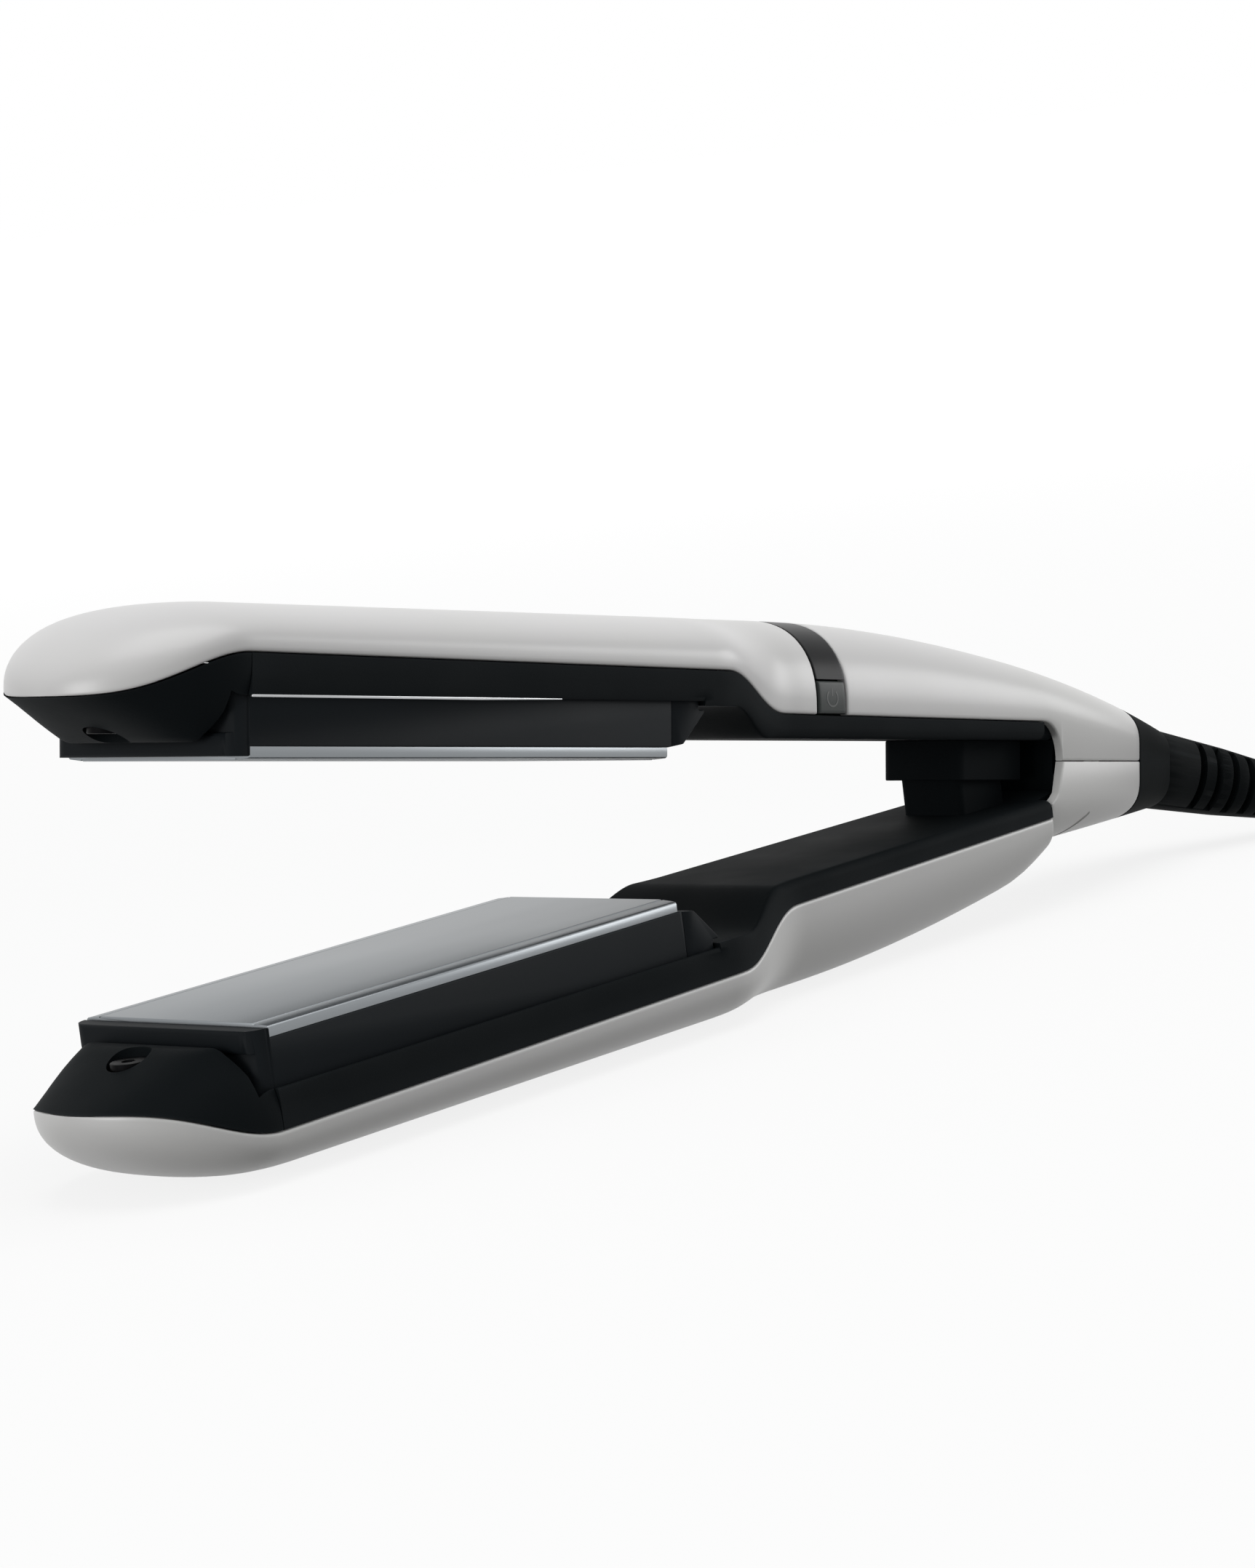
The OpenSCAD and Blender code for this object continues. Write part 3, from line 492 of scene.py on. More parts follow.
def linear(code: str) -> tuple[float, float, float, float]:
    """Linear colour of an sRGB hex code such as #d7d6d7."""
    values = [int(code[i : i + 2], 16) / 255 for i in (1, 3, 5)]
    return (*[v / 12.92 if v <= 0.04045 else ((v + 0.055) / 1.055) ** 2.4 for v in values], 1.0)


def blank_tree(owner: Material | bpy.types.World) -> NodeTree:
    """Empty node tree of a material or a world."""
    owner.use_nodes = True
    owner.node_tree.nodes.clear()
    return owner.node_tree


def add_node(tree: NodeTree, kind: str, values: dict | None = None, links: dict | None = None) -> Node:
    """Adds a node to a tree.

    Args:
        tree: the node tree.
        kind: the node's type, without the ShaderNode prefix.
        values: settings, by the name of a socket or of a property.
        links: sockets that feed this node, by the name or number of its own socket.

    Returns:
        The new node.
    """
    node = tree.nodes.new("ShaderNode" + kind)
    for key, value in (values or {}).items():
        if key in node.inputs:
            node.inputs[key].default_value = value
        else:
            setattr(node, key, value)
    for key, source in (links or {}).items():
        tree.links.new(source, node.inputs[key])
    return node


def combine(tree: NodeTree, operation: str, a: NodeSocket, b: NodeSocket) -> NodeSocket:
    """Result of an operation on two values."""
    return add_node(tree, "Math", {"operation": operation}, {0: a, 1: b}).outputs[0]


def remap(tree: NodeTree, source: NodeSocket, span: Flat, result: Flat) -> NodeSocket:
    """Maps one span of a value onto another."""
    values = {"From Min": span[0], "From Max": span[1], "To Min": result[0], "To Max": result[1]}
    return add_node(tree, "MapRange", values, {"Value": source}).outputs[0]


def blend(tree: NodeTree, factor: NodeSocket, first: NodeSocket | str, second: str) -> NodeSocket:
    """Mixes two colours by a factor: hex codes, or a socket for the first."""
    slot_a, slot_b, result = 6, 7, 2
    node = add_node(tree, "Mix", {"data_type": "RGBA"}, {0: factor})
    node.inputs[slot_b].default_value = linear(second)
    if isinstance(first, str):
        node.inputs[slot_a].default_value = linear(first)
    else:
        tree.links.new(first, node.inputs[slot_a])
    return node.outputs[result]


def noise(tree: NodeTree, where: NodeSocket, size: float, detail: float, roughness: float) -> NodeSocket:
    """Noise pattern whose features are size mm across."""
    values = {"Scale": 1.0 / (size * MM), "Detail": detail, "Roughness": roughness}
    return add_node(tree, "TexNoise", values, {"Vector": where}).outputs["Fac"]


@dataclass(frozen=True)
class Finish:
    """A finish: its colours, gloss, grain and wear. Each kind of surface is one of these."""

    name: str
    colour: str
    shade: str
    patch_mm: float
    roughness: float
    uneven: float = 0.05
    ior: float = 1.5
    metallic: float = 0.0
    specular: float = 0.5
    grain_mm: float = 0.3
    grain_depth: float = 0.01
    stretch: Point = (1.0, 1.0, 1.0)
    tilt: float = 0.0
    worn: str | None = None
    wear: float = 0.0
    seed: float = 0.0

    def material(self) -> Material:
        """Builds the node material once and returns it."""
        known = bpy.data.materials.get(self.name)
        if known:
            return known
        material = bpy.data.materials.new(self.name)
        tree = blank_tree(material)
        turn = {"Rotation": (0, math.radians(self.tilt), 0), "Scale": self.stretch}
        object_space = add_node(tree, "TexCoord").outputs["Object"]
        place = {**turn, "Location": (self.seed, 0, 0)}
        where = add_node(tree, "Mapping", place, {"Vector": object_space}).outputs[0]
        patches = noise(tree, where, self.patch_mm, 3.0, 0.55)
        grain = noise(tree, where, self.grain_mm, 2.0, 0.6)
        colour = blend(tree, patches, self.colour, self.shade)
        if self.worn:
            colour = self.edge_wear(tree, colour, patches)
        span = (self.roughness - self.uneven, self.roughness + self.uneven)
        gloss = remap(tree, patches, (0.25, 0.75), span)
        depth = {"Strength": 1.0, "Distance": self.grain_depth * MM}
        bump = add_node(tree, "Bump", depth, {"Height": grain}).outputs[0]
        nature = {"Metallic": self.metallic, "IOR": self.ior, "Specular IOR Level": self.specular}
        surface = {"Base Color": colour, "Roughness": gloss, "Normal": bump}
        shader = add_node(tree, "BsdfPrincipled", nature, surface).outputs[0]
        add_node(tree, "OutputMaterial", None, {"Surface": shader})
        return material

    def edge_wear(self, tree: NodeTree, colour: NodeSocket, patches: NodeSocket) -> NodeSocket:
        """Lightens the edges that hands and cloths rub, unevenly."""
        pointed = add_node(tree, "NewGeometry").outputs["Pointiness"]
        edges = remap(tree, pointed, (0.53, 0.62), (0.0, self.wear))
        return blend(tree, combine(tree, "MULTIPLY", edges, patches), colour, self.worn)


# ABS, injection moulded in a polished tool: an even off-white with a faint orange peel and soft gloss
WHITE_ABS = Finish(
    "abs_moulded_polished_white", "#dcdadb", "#d8d8d4", 55, 0.34, 0.04, 1.54, grain_mm=1.1, grain_depth=0.006,
)
# PPS with glass fibre, injection moulded in a spark-eroded tool: near black with a fine matt grain
BLACK_PPS = Finish(
    "pps_moulded_spark_grain_black", "#0b0f11", "#0f1315", 22, 0.68, 0.06, specular=0.05,
    grain_mm=0.45, grain_depth=0.02, worn="#2a2e31", wear=0.5,
)
# The same resin in a polished tool, where hair slides
BLACK_CARRIER = Finish(
    "pps_moulded_fine_black", "#0c1013", "#101417", 30, 0.56, specular=0.08,
    grain_mm=0.5, grain_depth=0.012, worn="#2c3033", wear=0.5,
)
# Polycarbonate, moulded and polished: a deep, glossy black trim
RING_PC = Finish(
    "polycarbonate_polished_black", "#08090b", "#0b0c0e", 20, 0.3, 0.03, 1.58, specular=0.08,
    grain_mm=1.4, grain_depth=0.003,
)
# Smoked polycarbonate button, moulded with a satin face and a darker mark
BUTTON_PC = Finish(
    "polycarbonate_satin_smoke", "#1f2624", "#1c2221", 6, 0.4, 0.04, 1.58, specular=0.2, grain_mm=0.25,
)
MARK_PC = Finish("polycarbonate_engraved_mark", "#1b1f1e", "#202524", 2, 0.5, 0.04, 1.58, grain_mm=0.2)
# Flexible PVC, moulded matt: boot, collar and cord jacket
BLACK_PVC = Finish(
    "pvc_moulded_matt_black", "#06090a", "#090c0d", 16, 0.7, 0.06, 1.52, specular=0.05,
    grain_mm=0.6, grain_depth=0.025, worn="#25292b", wear=0.4,
)
CORD_PVC = Finish(
    "pvc_extruded_matt_black", "#0d1012", "#111416", 24, 0.48, 0.06, 1.52, specular=0.15,
    grain_mm=0.9, grain_depth=0.02,
)
# Small moulded parts
TIE_NYLON = Finish("nylon_moulded_grey", "#3c3f41", "#46494b", 8, 0.5, 0.05, 1.53, grain_mm=0.4)
SWITCH = Finish("nylon_moulded_dark_grey", "#2b2d2f", "#232527", 3, 0.5, 0.05, 1.53, grain_mm=0.2)
SILICONE = Finish("silicone_moulded_red", "#a8401f", "#963a1d", 3, 0.6, 0.05, 1.41)
# Metals: turned, drawn or sintered, then plated, blackened or left bare
# Nose screws: blackened steel, its colour darkened further to paint the shade in their deep holes
DARK_STEEL = Finish(
    "steel_blackened_painted_shade", "#101011", "#0b0b0c", 3, 0.55, 0.08, metallic=1.0,
    grain_mm=0.15, grain_depth=0.004,
)
BRIGHT_STEEL = Finish(
    "steel_drawn_zinc_plated", "#b9babb", "#a4a6a8", 4, 0.3, 0.06, metallic=1.0,
    grain_mm=0.2, grain_depth=0.003,
)
BRONZE = Finish("bronze_sintered", "#a97a46", "#8e6537", 2, 0.45, 0.08, metallic=1.0, grain_mm=0.12)
PIN_NICKEL = Finish(
    "brass_turned_bright_nickel", "#c9c6bd", "#b9b6ad", 5, 0.2, 0.04, metallic=1.0,
    grain_mm=0.15, grain_depth=0.002,
)
# Ceramics and the circuit board
CERAMIC = Finish("ceramic_heater_in_polyimide", "#a8672c", "#8f5826", 5, 0.35, 0.06, 1.6, grain_depth=0.005)
FUSE = Finish("glazed_ceramic_tan", "#b79a72", "#a98c65", 2, 0.3, 0.05, 1.55, grain_mm=0.2, grain_depth=0.004)
BOARD = Finish("fibreglass_solder_mask_green", "#1e5a34", "#184d2c", 4, 0.35, 0.06, 1.55)


def plate_finish(arm: Arm) -> Finish:
    """Aluminium, ground along the plate and coated: satin grey with fine lengthwise lines."""
    tilt = STANCE.opening if arm is Arm.UPPER else 0.0
    return Finish(
        "aluminium_ground_coated_" + arm.name.lower(), "#888c8f", "#84888b", 40, 0.36, 0.04, metallic=1.0,
        grain_mm=0.35, grain_depth=0.004, stretch=(0.04, 1.0, 1.0), tilt=tilt, seed=3.0 * tilt,
    )


def dress(obj: Object, finish: Finish, slot: str) -> None:
    """Gives an object one finish over its whole surface."""
    obj.data.materials.clear()
    obj.data.materials.append(finish.material())
    log.info("%s: %d faces", obj.name, len(obj.data.polygons))


def place(obj: Object, body: str, finish: Finish, slot: str, *nodes: str) -> Object:
    """Dresses a piece, sets it on its body and hides the solids that it stands in for."""
    dress(obj, finish, slot)
    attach(obj, body)
    if nodes:
        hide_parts(*nodes)
    return obj


# ---------------- sub-assemblies


@dataclass
class Shells:
    """White shells and rear cap, with the black collar behind them."""

    shape: ArmShape = SHAPE
    edge_round: float = 0.5
    end_round: float = 0.35
    cap_round: float = 0.3
    cap_gap: float = 0.4
    fork_flare: float = 3.5
    seam_round: float = 0.25
    lip_steps: tuple[Flat, ...] = ((0.35, 0.0), (0.12, 0.02), (0.0, 0.12), (0.0, 0.3))
    ends: tuple[float, ...] = (0, 0.04, 0.12, 0.22, 0.35)
    crease_r: Flat = (0.2, 0.7)
    crease: tuple[Flat, ...] = (
        (3.9, -9.9), (4.5, -10.6), (5.4, -11.3), (6.4, -12.2), (7.4, -13.3), (8.3, -14.5),
    )

    def row(self, u: float, low: float, base: float, top: float, shrink: float) -> Row:
        """Outside of a shell at a station, with a rounded lower edge."""
        width = max(self.shape.half_width(u) - shrink, 0.0)
        r = min(self.edge_round, max(base - low, 0.0))
        near = [(width - r + r * math.cos(a), low + r + r * math.sin(a)) for a in fan(-90, 0, 3)]
        return row_at(u, near, self.shape.arc(width, base, max(top - shrink, base)))

    def lining(self, u: float, low: float, base: float, top: float, wall: float) -> Row:
        """Inside of a shell at a station."""
        s = self.shape
        width, at = s.half_width(u) - wall, u
        if u > s.nose_u:
            width = s.half_width(u) * (1 - wall / s.body_half)
            at = mix(s.nose_u, u, 1 - wall / (s.tip_u - s.nose_u))
        lip = [(width + v, low + h) for v, h in self.lip_steps]
        if width + self.lip_steps[0][0] > s.half_width(u):
            lip = [(width, low)] * len(lip)
        return row_at(at, lip, s.arc(width, base, max(top - wall, mix(base, top, 0.15))))

    def both(self, u: float, low: float, base: float, top: float, wall: float, shrink: float) -> list[Row]:
        """Outside and inside of a shell at a station."""
        return [self.row(u, low, base, top, shrink), self.lining(u, low, base, top, wall)]

    def forward(self) -> list[float]:
        """Stations from the sweep over the plates to the tip."""
        s = self.shape
        shoulder = s.tip_u - s.crown_drop
        sweep = steps(s.sweep_u - 4, s.sweep_u + s.sweep_len + 4, 36)
        plates = steps(sweep[-1], shoulder, 20)[1:]
        nose = steps(shoulder, s.nose_u, 8)[1:]
        return sweep + plates + nose + [mix(s.nose_u, s.tip_u, math.sin(a)) for a in fan(0, 90, 34)[1:]]

    def front(self, name: str, arm: Arm, stations: list[float], heel: float = 0.0) -> Object:
        """Shell from a rear end to the tip of the nose, lowered at the heel."""
        s, rows = self.shape, []
        for u in stations:
            top = s.crown(u) - heel * share(u, s.lower_end_u + s.heel_len, s.lower_end_u) ** 2
            shrink = rounding(u - stations[0], self.end_round)
            rows.append(self.both(u, s.edge(u), s.base(u), top, s.wall, shrink))
        return skin(name, arm, *zip(*rows), tip=True)

    def rear(self) -> Object:
        """Rear half of the upper shell, from the collar over the fork to the ring."""
        s = self.shape
        start, fork, end = s.white_u, s.fork_u + s.fork_len, s.ring_u - s.seam
        stations = [start + d for d in self.ends] + steps(start + 2, s.fork_u, 22)
        stations += [mix(s.fork_u, fork, 1 - math.cos(a)) for a in fan(0, 90, 18)[1:]]
        stations += steps(fork + 2, end - 1, 24) + [end - d for d in reversed(self.ends)]
        rows = []
        for u in stations:
            wall = s.rear_wall(u)
            shrink = min(rounding(min(u - start, end - u), self.end_round), wall * 0.8)
            rows.append(self.both(u, s.rear_low(u), s.rear_base(u), s.crown(u), wall, shrink))
        return skin("shell_upper_rear", Arm.UPPER, *zip(*rows))

    def cap_front(self, h: float) -> float:
        """End of the cap at height h: the fork, then the line of the lower shell's end."""
        s, slope = self.shape, math.radians(STANCE.opening)
        fork = s.fork_u + self.fork_flare * (abs(h) / s.edge_grip) ** 3
        return min(fork, (s.lower_end_u - self.cap_gap) / math.cos(slope) + h * math.tan(slope))

    def cap_row(self, t: float, inside: bool) -> Row:
        """Section of the cap at share t of its length."""
        s, points, insets = self.shape, [], []
        for v, lift in s.arc(1.0, 0.0, 1.0):
            end = self.cap_front(-mix(s.cap_base(s.fork_u), s.cap_depth(s.fork_u), lift))
            u = mix(s.white_u, end, t)
            off = s.rear_wall(u)
            if not inside:
                off = min(rounding(min(u - s.white_u, end - u), self.cap_round), off * 0.8)
            insets.append(off)
            points.append((u, v * (s.half_width(u) - off), -mix(s.cap_base(u), s.cap_depth(u) - off, lift)))
        u = mix(s.white_u, s.fork_u, t)
        width, top, r = s.half_width(u) - insets[0], -s.seam / 2, 0.0 if inside else self.seam_round
        sides = row_at(u, [(width - r, top), (width - 0.3 * r, top - 0.3 * r), (width, top - r)])
        return sides[:3] + points + sides[3:]

    def cap(self) -> Object:
        """Lower half of the rear housing, with a shallow crease on each side."""
        stations = [0, 0.001, 0.003, 0.006] + steps(0.02, 0.98, 26) + [0.994, 0.997, 0.999, 1.0]
        grids = [[self.cap_row(t, inside) for t in stations] for inside in (False, True)]
        cap = skin("shell_rear_cap", Arm.UPPER, *grids)
        for side in (-1, 1):
            line = [(u, side * (self.shape.cap_v(u, h) + 0.1), h) for u, h in self.crease]
            path = [Vector(STANCE.world(Arm.UPPER, p)) for p in line]
            radii = [mix(*self.crease_r, math.sin(math.pi * (i + 1) / 8)) * MM for i in range(len(path))]
            join(cap, [tube("crease", path, radii, 8)], Join.CUT)
        return cap

    def collar(self) -> Object:
        """Black collar round the rim, behind the white housing."""
        s = self.shape
        front = s.white_u - 0.12
        stations = [s.rim_u + d for d in self.ends] + steps(s.rim_u + 1, front - 1, 4)
        stations += [front - d for d in reversed(self.ends[:4])]
        outer, inner = [], []
        for u in stations:
            inset = max(rounding(u - s.rim_u, 0.2), rounding(front - u, 0.22))
            for rows, off in ((outer, inset), (inner, max(s.rear_wall(u), inset + 0.15))):
                width = s.half_width(u) - off
                over = s.arc(width, s.rear_base(u), s.crown(u) - off)
                below = [(v, -h) for v, h in reversed(s.arc(width, s.cap_base(u), s.cap_depth(u) - off))]
                rows.append([(u, v, h) for v, h in [(width, 0.005), *over, *below, (width, -0.005)]])
        return skin("collar_rim", Arm.UPPER, outer, inner)

    def build(self) -> None:
        """Makes and places the collar and the shells."""
        s = self.shape
        place(self.collar(), "upper_arm", BLACK_PVC, "black_rubber")
        place(self.rear(), "upper_arm", WHITE_ABS, "white_gloss", "upper_shell_rear")
        stations = [s.ring_u + s.ring_len + s.seam + d for d in self.ends] + self.forward()
        front = self.front("shell_upper_front", Arm.UPPER, stations)
        place(front, "upper_arm", WHITE_ABS, "white_gloss", "upper_shell_front")
        place(self.cap(), "upper_arm", WHITE_ABS, "white_gloss", "rear_cap")
        stations = [s.lower_end_u + d for d in self.ends]
        stations += steps(s.lower_end_u + 1, s.sweep_u - 4, 30)[:-1] + self.forward()
        lower = self.front("shell_lower", Arm.LOWER, stations, s.heel_drop)
        place(lower, "lower_arm", WHITE_ABS, "white_gloss", "lower_shell")


@dataclass
class Frames:
    """Black inner covers of the two arms, with the knuckle, the cheeks and the post.

    The profiles of the cheek, the neck and the highlight strip are in (u, h). The well, the post and its
    hollow are boxes of a length, a width, a corner radius and a middle u.
    """

    shape: ArmShape = SHAPE
    sharp: float = 32.0
    grip_face: float = 4.0
    band_h: float = 13.3
    saddle_u: float = 104.0
    saddle_len: float = 14.0
    saddle_h: float = 9.5
    cavity_u: float = 127.4
    cavity_half: float = 21.5
    ceiling_h: float = 12.6
    lip_h: float = 10.3
    rim_t: float = 2.0
    panel_t: float = 1.8
    toe_out: float = 0.4
    drum_r: float = 14.3
    drum_wall: float = 1.6
    drum_half: float = 13.0
    drum_span: Flat = (-26.0, 34.0)
    hub_r: float = 6.4
    hub_half: float = 9.6
    pin_r: float = 2.55
    bush_r: float = 3.55
    bush_len: float = 4.0
    cheek_at: Flat = (9.9, 11.9)
    cheek: tuple[Flat, ...] = (
        (-4.6, 0), (4.6, 0), (9, 7.6), (24, 7.6), (24, 10.5), (16, 10.5), (8, 9.4), (-3, 5.4)
    )
    neck: tuple[Flat, ...] = ((12.9, 5.2), (12.2, 7.4), (22, 7.4), (22, 4.2), (14.2, 3.2))
    well: Box = (21.0, 18.0, 2.5, 28.5)
    post: Box = (14.1, 14.2, 1.5, 29.25)
    hollow: Box = (11.1, 11.2, 1.0, 29.25)
    post_h: float = -5.7
    # Profile of the bright strips that paint the highlight under the upper band
    strip: tuple[Flat, ...] = ((164, 10.2), (184, 9.95), (235.6, 9.95), (235.6, 10.4), (164, 10.4))

    def under(self, u: float) -> float:
        """Height of the face that points at the other arm."""
        return mix(self.grip_face, self.saddle_h, ease((u - self.saddle_u) / self.saddle_len))

    def half(self, u: float, lined: bool) -> float:
        """Half width, inside the rear shell's wall where lined."""
        s = self.shape
        inset = s.wall + s.seam if lined and u < s.fork_u + s.fork_len else 0.0
        return s.half_width(u) - inset

    def below(self, u: float, lined: bool) -> Row:
        """Visible side of the cover at a station."""
        s, w = self.shape, self.half(u, lined)
        band = mix(self.grip_face + 1.8, self.band_h, s.sweep_share(u))
        toe = w - mix(1.7, self.toe_out, s.sweep_share(u))
        lip = self.lip_h if u > self.cavity_u else self.under(u)
        near = [(w, s.edge(u) - s.seam)]
        near += [(toe + (w - toe) * math.cos(a), band - (band - lip) * math.sin(a)) for a in fan(0, 90, 8)]
        if u > self.cavity_u:
            near += [(self.cavity_half, lip), (self.cavity_half, self.ceiling_h)]
        else:
            near += [(toe - 0.5, lip), (toe - 1.1, lip)]
        return row_at(u, near)

    def above(self, u: float, lined: bool) -> Row:
        """Hidden side of the cover at a station."""
        w = self.half(u, lined) - self.rim_t
        top = self.shape.edge(u) - self.shape.seam
        ceiling = self.ceiling_h if u > self.cavity_u else self.under(u)
        deck = min(ceiling + self.panel_t, top - 0.6)
        return row_at(u, [*[(w, h) for h in steps(top, deck, 9)], (w - 1.5, deck), (w - 4.5, deck)])

    def body(self, name: str, arm: Arm, rear: list[float], lined: bool) -> Object:
        """Long cover from its rear end to the nose."""
        # Close together over the saddle, and a pair where the hollow for the carrier starts
        stations = rear + steps(26, 94, 18) + steps(95.5, 125, 40)
        stations += [self.cavity_u - 0.05, self.cavity_u + 0.05]
        stations += steps(132, self.shape.nose_u - self.shape.seam, 14)
        grids = [[side(u, lined) for u in stations] for side in (self.above, self.below)]
        return skin(name, arm, *grids, sharp=self.sharp)

    def upper(self) -> Object:
        """Cover of the upper arm, with the cheeks that hold the hinge pin."""
        arm, s = Arm.UPPER, self.shape
        liner = s.fork_u + s.fork_len
        cover = self.body("cover_upper", arm, [s.fork_u + 0.5, 18, liner - 0.05, liner + 0.05, 23.5], True)
        well = column("well", arm, round_box(*self.well), 3, 10)
        drum = prism("drum", arm, circle(self.drum_r + 0.5, count=96), -22, 22)
        join(cover, [well, drum], Join.CUT, self.sharp)
        cheeks = []
        for side in (-1, 1):
            low, high = sorted(side * v for v in self.cheek_at)
            cheek = prism("cheek", arm, self.cheek, low, high)
            join(cheek, [prism("boss", arm, circle(5), low, high)], Join.ADD)
            join(cheek, [prism("bore", arm, circle(self.pin_r), low - 1, high + 1)], Join.CUT)
            cheeks.append(cheek)
        return join(cover, cheeks, Join.ADD, self.sharp)

    def lower(self) -> Object:
        """Cover of the lower arm, with the knuckle drum and the hollow spring post."""
        arm, start, half, wide = Arm.LOWER, self.shape.lower_end_u, self.hub_half, self.drum_half
        cover = self.body("cover_lower", arm, [start, start + 0.8, 23.5], False)
        low, high = self.drum_span
        arc = circle(self.drum_r, count=48, start=low, end=high)
        inside = circle(self.drum_r - self.drum_wall, count=48, start=high, end=low)
        parts = [
            prism("hub", arm, circle(self.hub_r), -half, half),
            prism("segment", arm, [(0, 0), *arc], -half, half),
            prism("drum", arm, [*arc, *inside], -wide, wide),
            prism("neck", arm, self.neck, -wide, wide),
            column("post", arm, round_box(*self.post), self.post_h, self.grip_face + 1),
        ]
        join(cover, parts, Join.ADD, self.sharp)
        bores = [
            prism("bore", arm, circle(self.pin_r), -22, 22),
            prism("bush_near", arm, circle(self.bush_r), half - self.bush_len, half + 0.1),
            prism("bush_far", arm, circle(self.bush_r), -half - 0.1, self.bush_len - half),
            column("hollow", arm, round_box(*self.hollow), self.post_h - 1, self.grip_face + 0.3),
        ]
        return join(cover, bores, Join.CUT, self.sharp)

    def highlight_strips(self) -> Object:
        """Thin bright steel strips under the band of the upper arm, one on each side, that paint the
        highlight line along the band's lower edge.
        """
        inside, outside = self.cavity_half + 0.1, self.shape.body_half - self.toe_out + 0.12
        near, far = (
            round_edges(prism("highlight_strips", Arm.UPPER, self.strip, *span), 0.12)
            for span in ((inside, outside), (-outside, -inside))
        )
        return join(near, [far], Join.ADD)

    def build(self) -> None:
        """Makes and places the highlight strips and both covers."""
        # Bright steel strips that paint the highlight line under the upper arm's band
        place(self.highlight_strips(), "upper_arm", BRIGHT_STEEL, "steel")
        place(self.upper(), "upper_arm", BLACK_PPS, "black_satin", "upper_frame")
        place(self.lower(), "lower_arm", BLACK_PPS, "black_satin", "lower_frame")


@dataclass
class Noses:
    """Black nose pieces with their recessed screws. The pocket's u starts at the nose's back."""

    shape: ArmShape = SHAPE
    bottom: float = 3.0
    waist: float = 0.7
    waist_bend: float = 2.6
    front: float = 7.9
    foot_round: float = 0.8
    fullness: float = 0.42
    pocket: tuple[Flat, ...] = ((-1, -1), (5.2, -1), (4.6, 4.2), (3.6, 7.6), (3.3, 12.6), (-1, 12.6))
    pocket_half: float = 21.5
    screw_u: float = 245.8
    hole_r: float = 3.75
    hole_depth: float = 3.4

    def side(self, s: float, h: float, a: float) -> float:
        """Distance across at level s, from 0 at the shell to 1 at the foot; the plan grows squarer."""
        half = self.shape.body_half * mix(1, self.waist, power(s, self.waist_bend))
        aside = math.copysign(power(abs(math.sin(a)), 1 - self.fullness * s**2), math.sin(a))
        return (half - rounding(h - self.bottom, self.foot_round)) * aside

    def point(self, s: float, a: float) -> Point:
        """Outside at level s and angle a from straight ahead."""
        shape = self.shape
        ahead = power(math.cos(a), 1 - self.fullness * s**2)
        u_top = mix(shape.nose_u, shape.tip_u, math.cos(a))
        h = mix(shape.edge(u_top) - shape.seam, self.bottom, s)
        u = mix(u_top, shape.nose_u + self.front * ahead, s)
        return (u - rounding(h - self.bottom, self.foot_round) * ahead, self.side(s, h, a), h)

    def back(self, s: float, a: float) -> Point:
        """Flat back at the height of the outside; at the sides the two meet."""
        u, v, h = self.point(s, a)
        if abs(a) < math.pi / 2:
            top = self.shape.edge_front - self.shape.seam
            u, v = self.shape.nose_u, self.side((top - h) / (top - self.bottom), h, a)
        return (u, v, h)

    def nose(self, arm: Arm) -> Object:
        """One nose piece with its pocket and screw hole."""
        levels = steps(0, 0.92, 20) + [0.945, 0.965, 0.98, 0.99, 0.996, 1.0]
        grids = [[[side(s, a) for a in fan(90, -90, 48)] for s in levels] for side in (self.point, self.back)]
        piece = skin("nose_" + arm.name.lower(), arm, *grids)
        pocket = [(self.shape.nose_u + u, h) for u, h in self.pocket]
        hole = circle(self.hole_r, (self.screw_u, 0), 48)
        tools = [
            prism("pocket", arm, pocket, -self.pocket_half, self.pocket_half),
            column("hole", arm, hole, -1, self.bottom + self.hole_depth),
        ]
        return join(piece, tools, Join.CUT)

    def build(self) -> None:
        """Makes and places the noses and their screws."""
        for arm in Arm:
            side = arm.name.lower()
            place(self.nose(arm), arm.value, BLACK_PPS, "black_satin", side + "_nose")
            screw = moulded_copy("screw_nose_" + side, side + "_nose_screw", 0.12)
            place(screw, arm.value, DARK_STEEL, "steel", side + "_nose_screw")


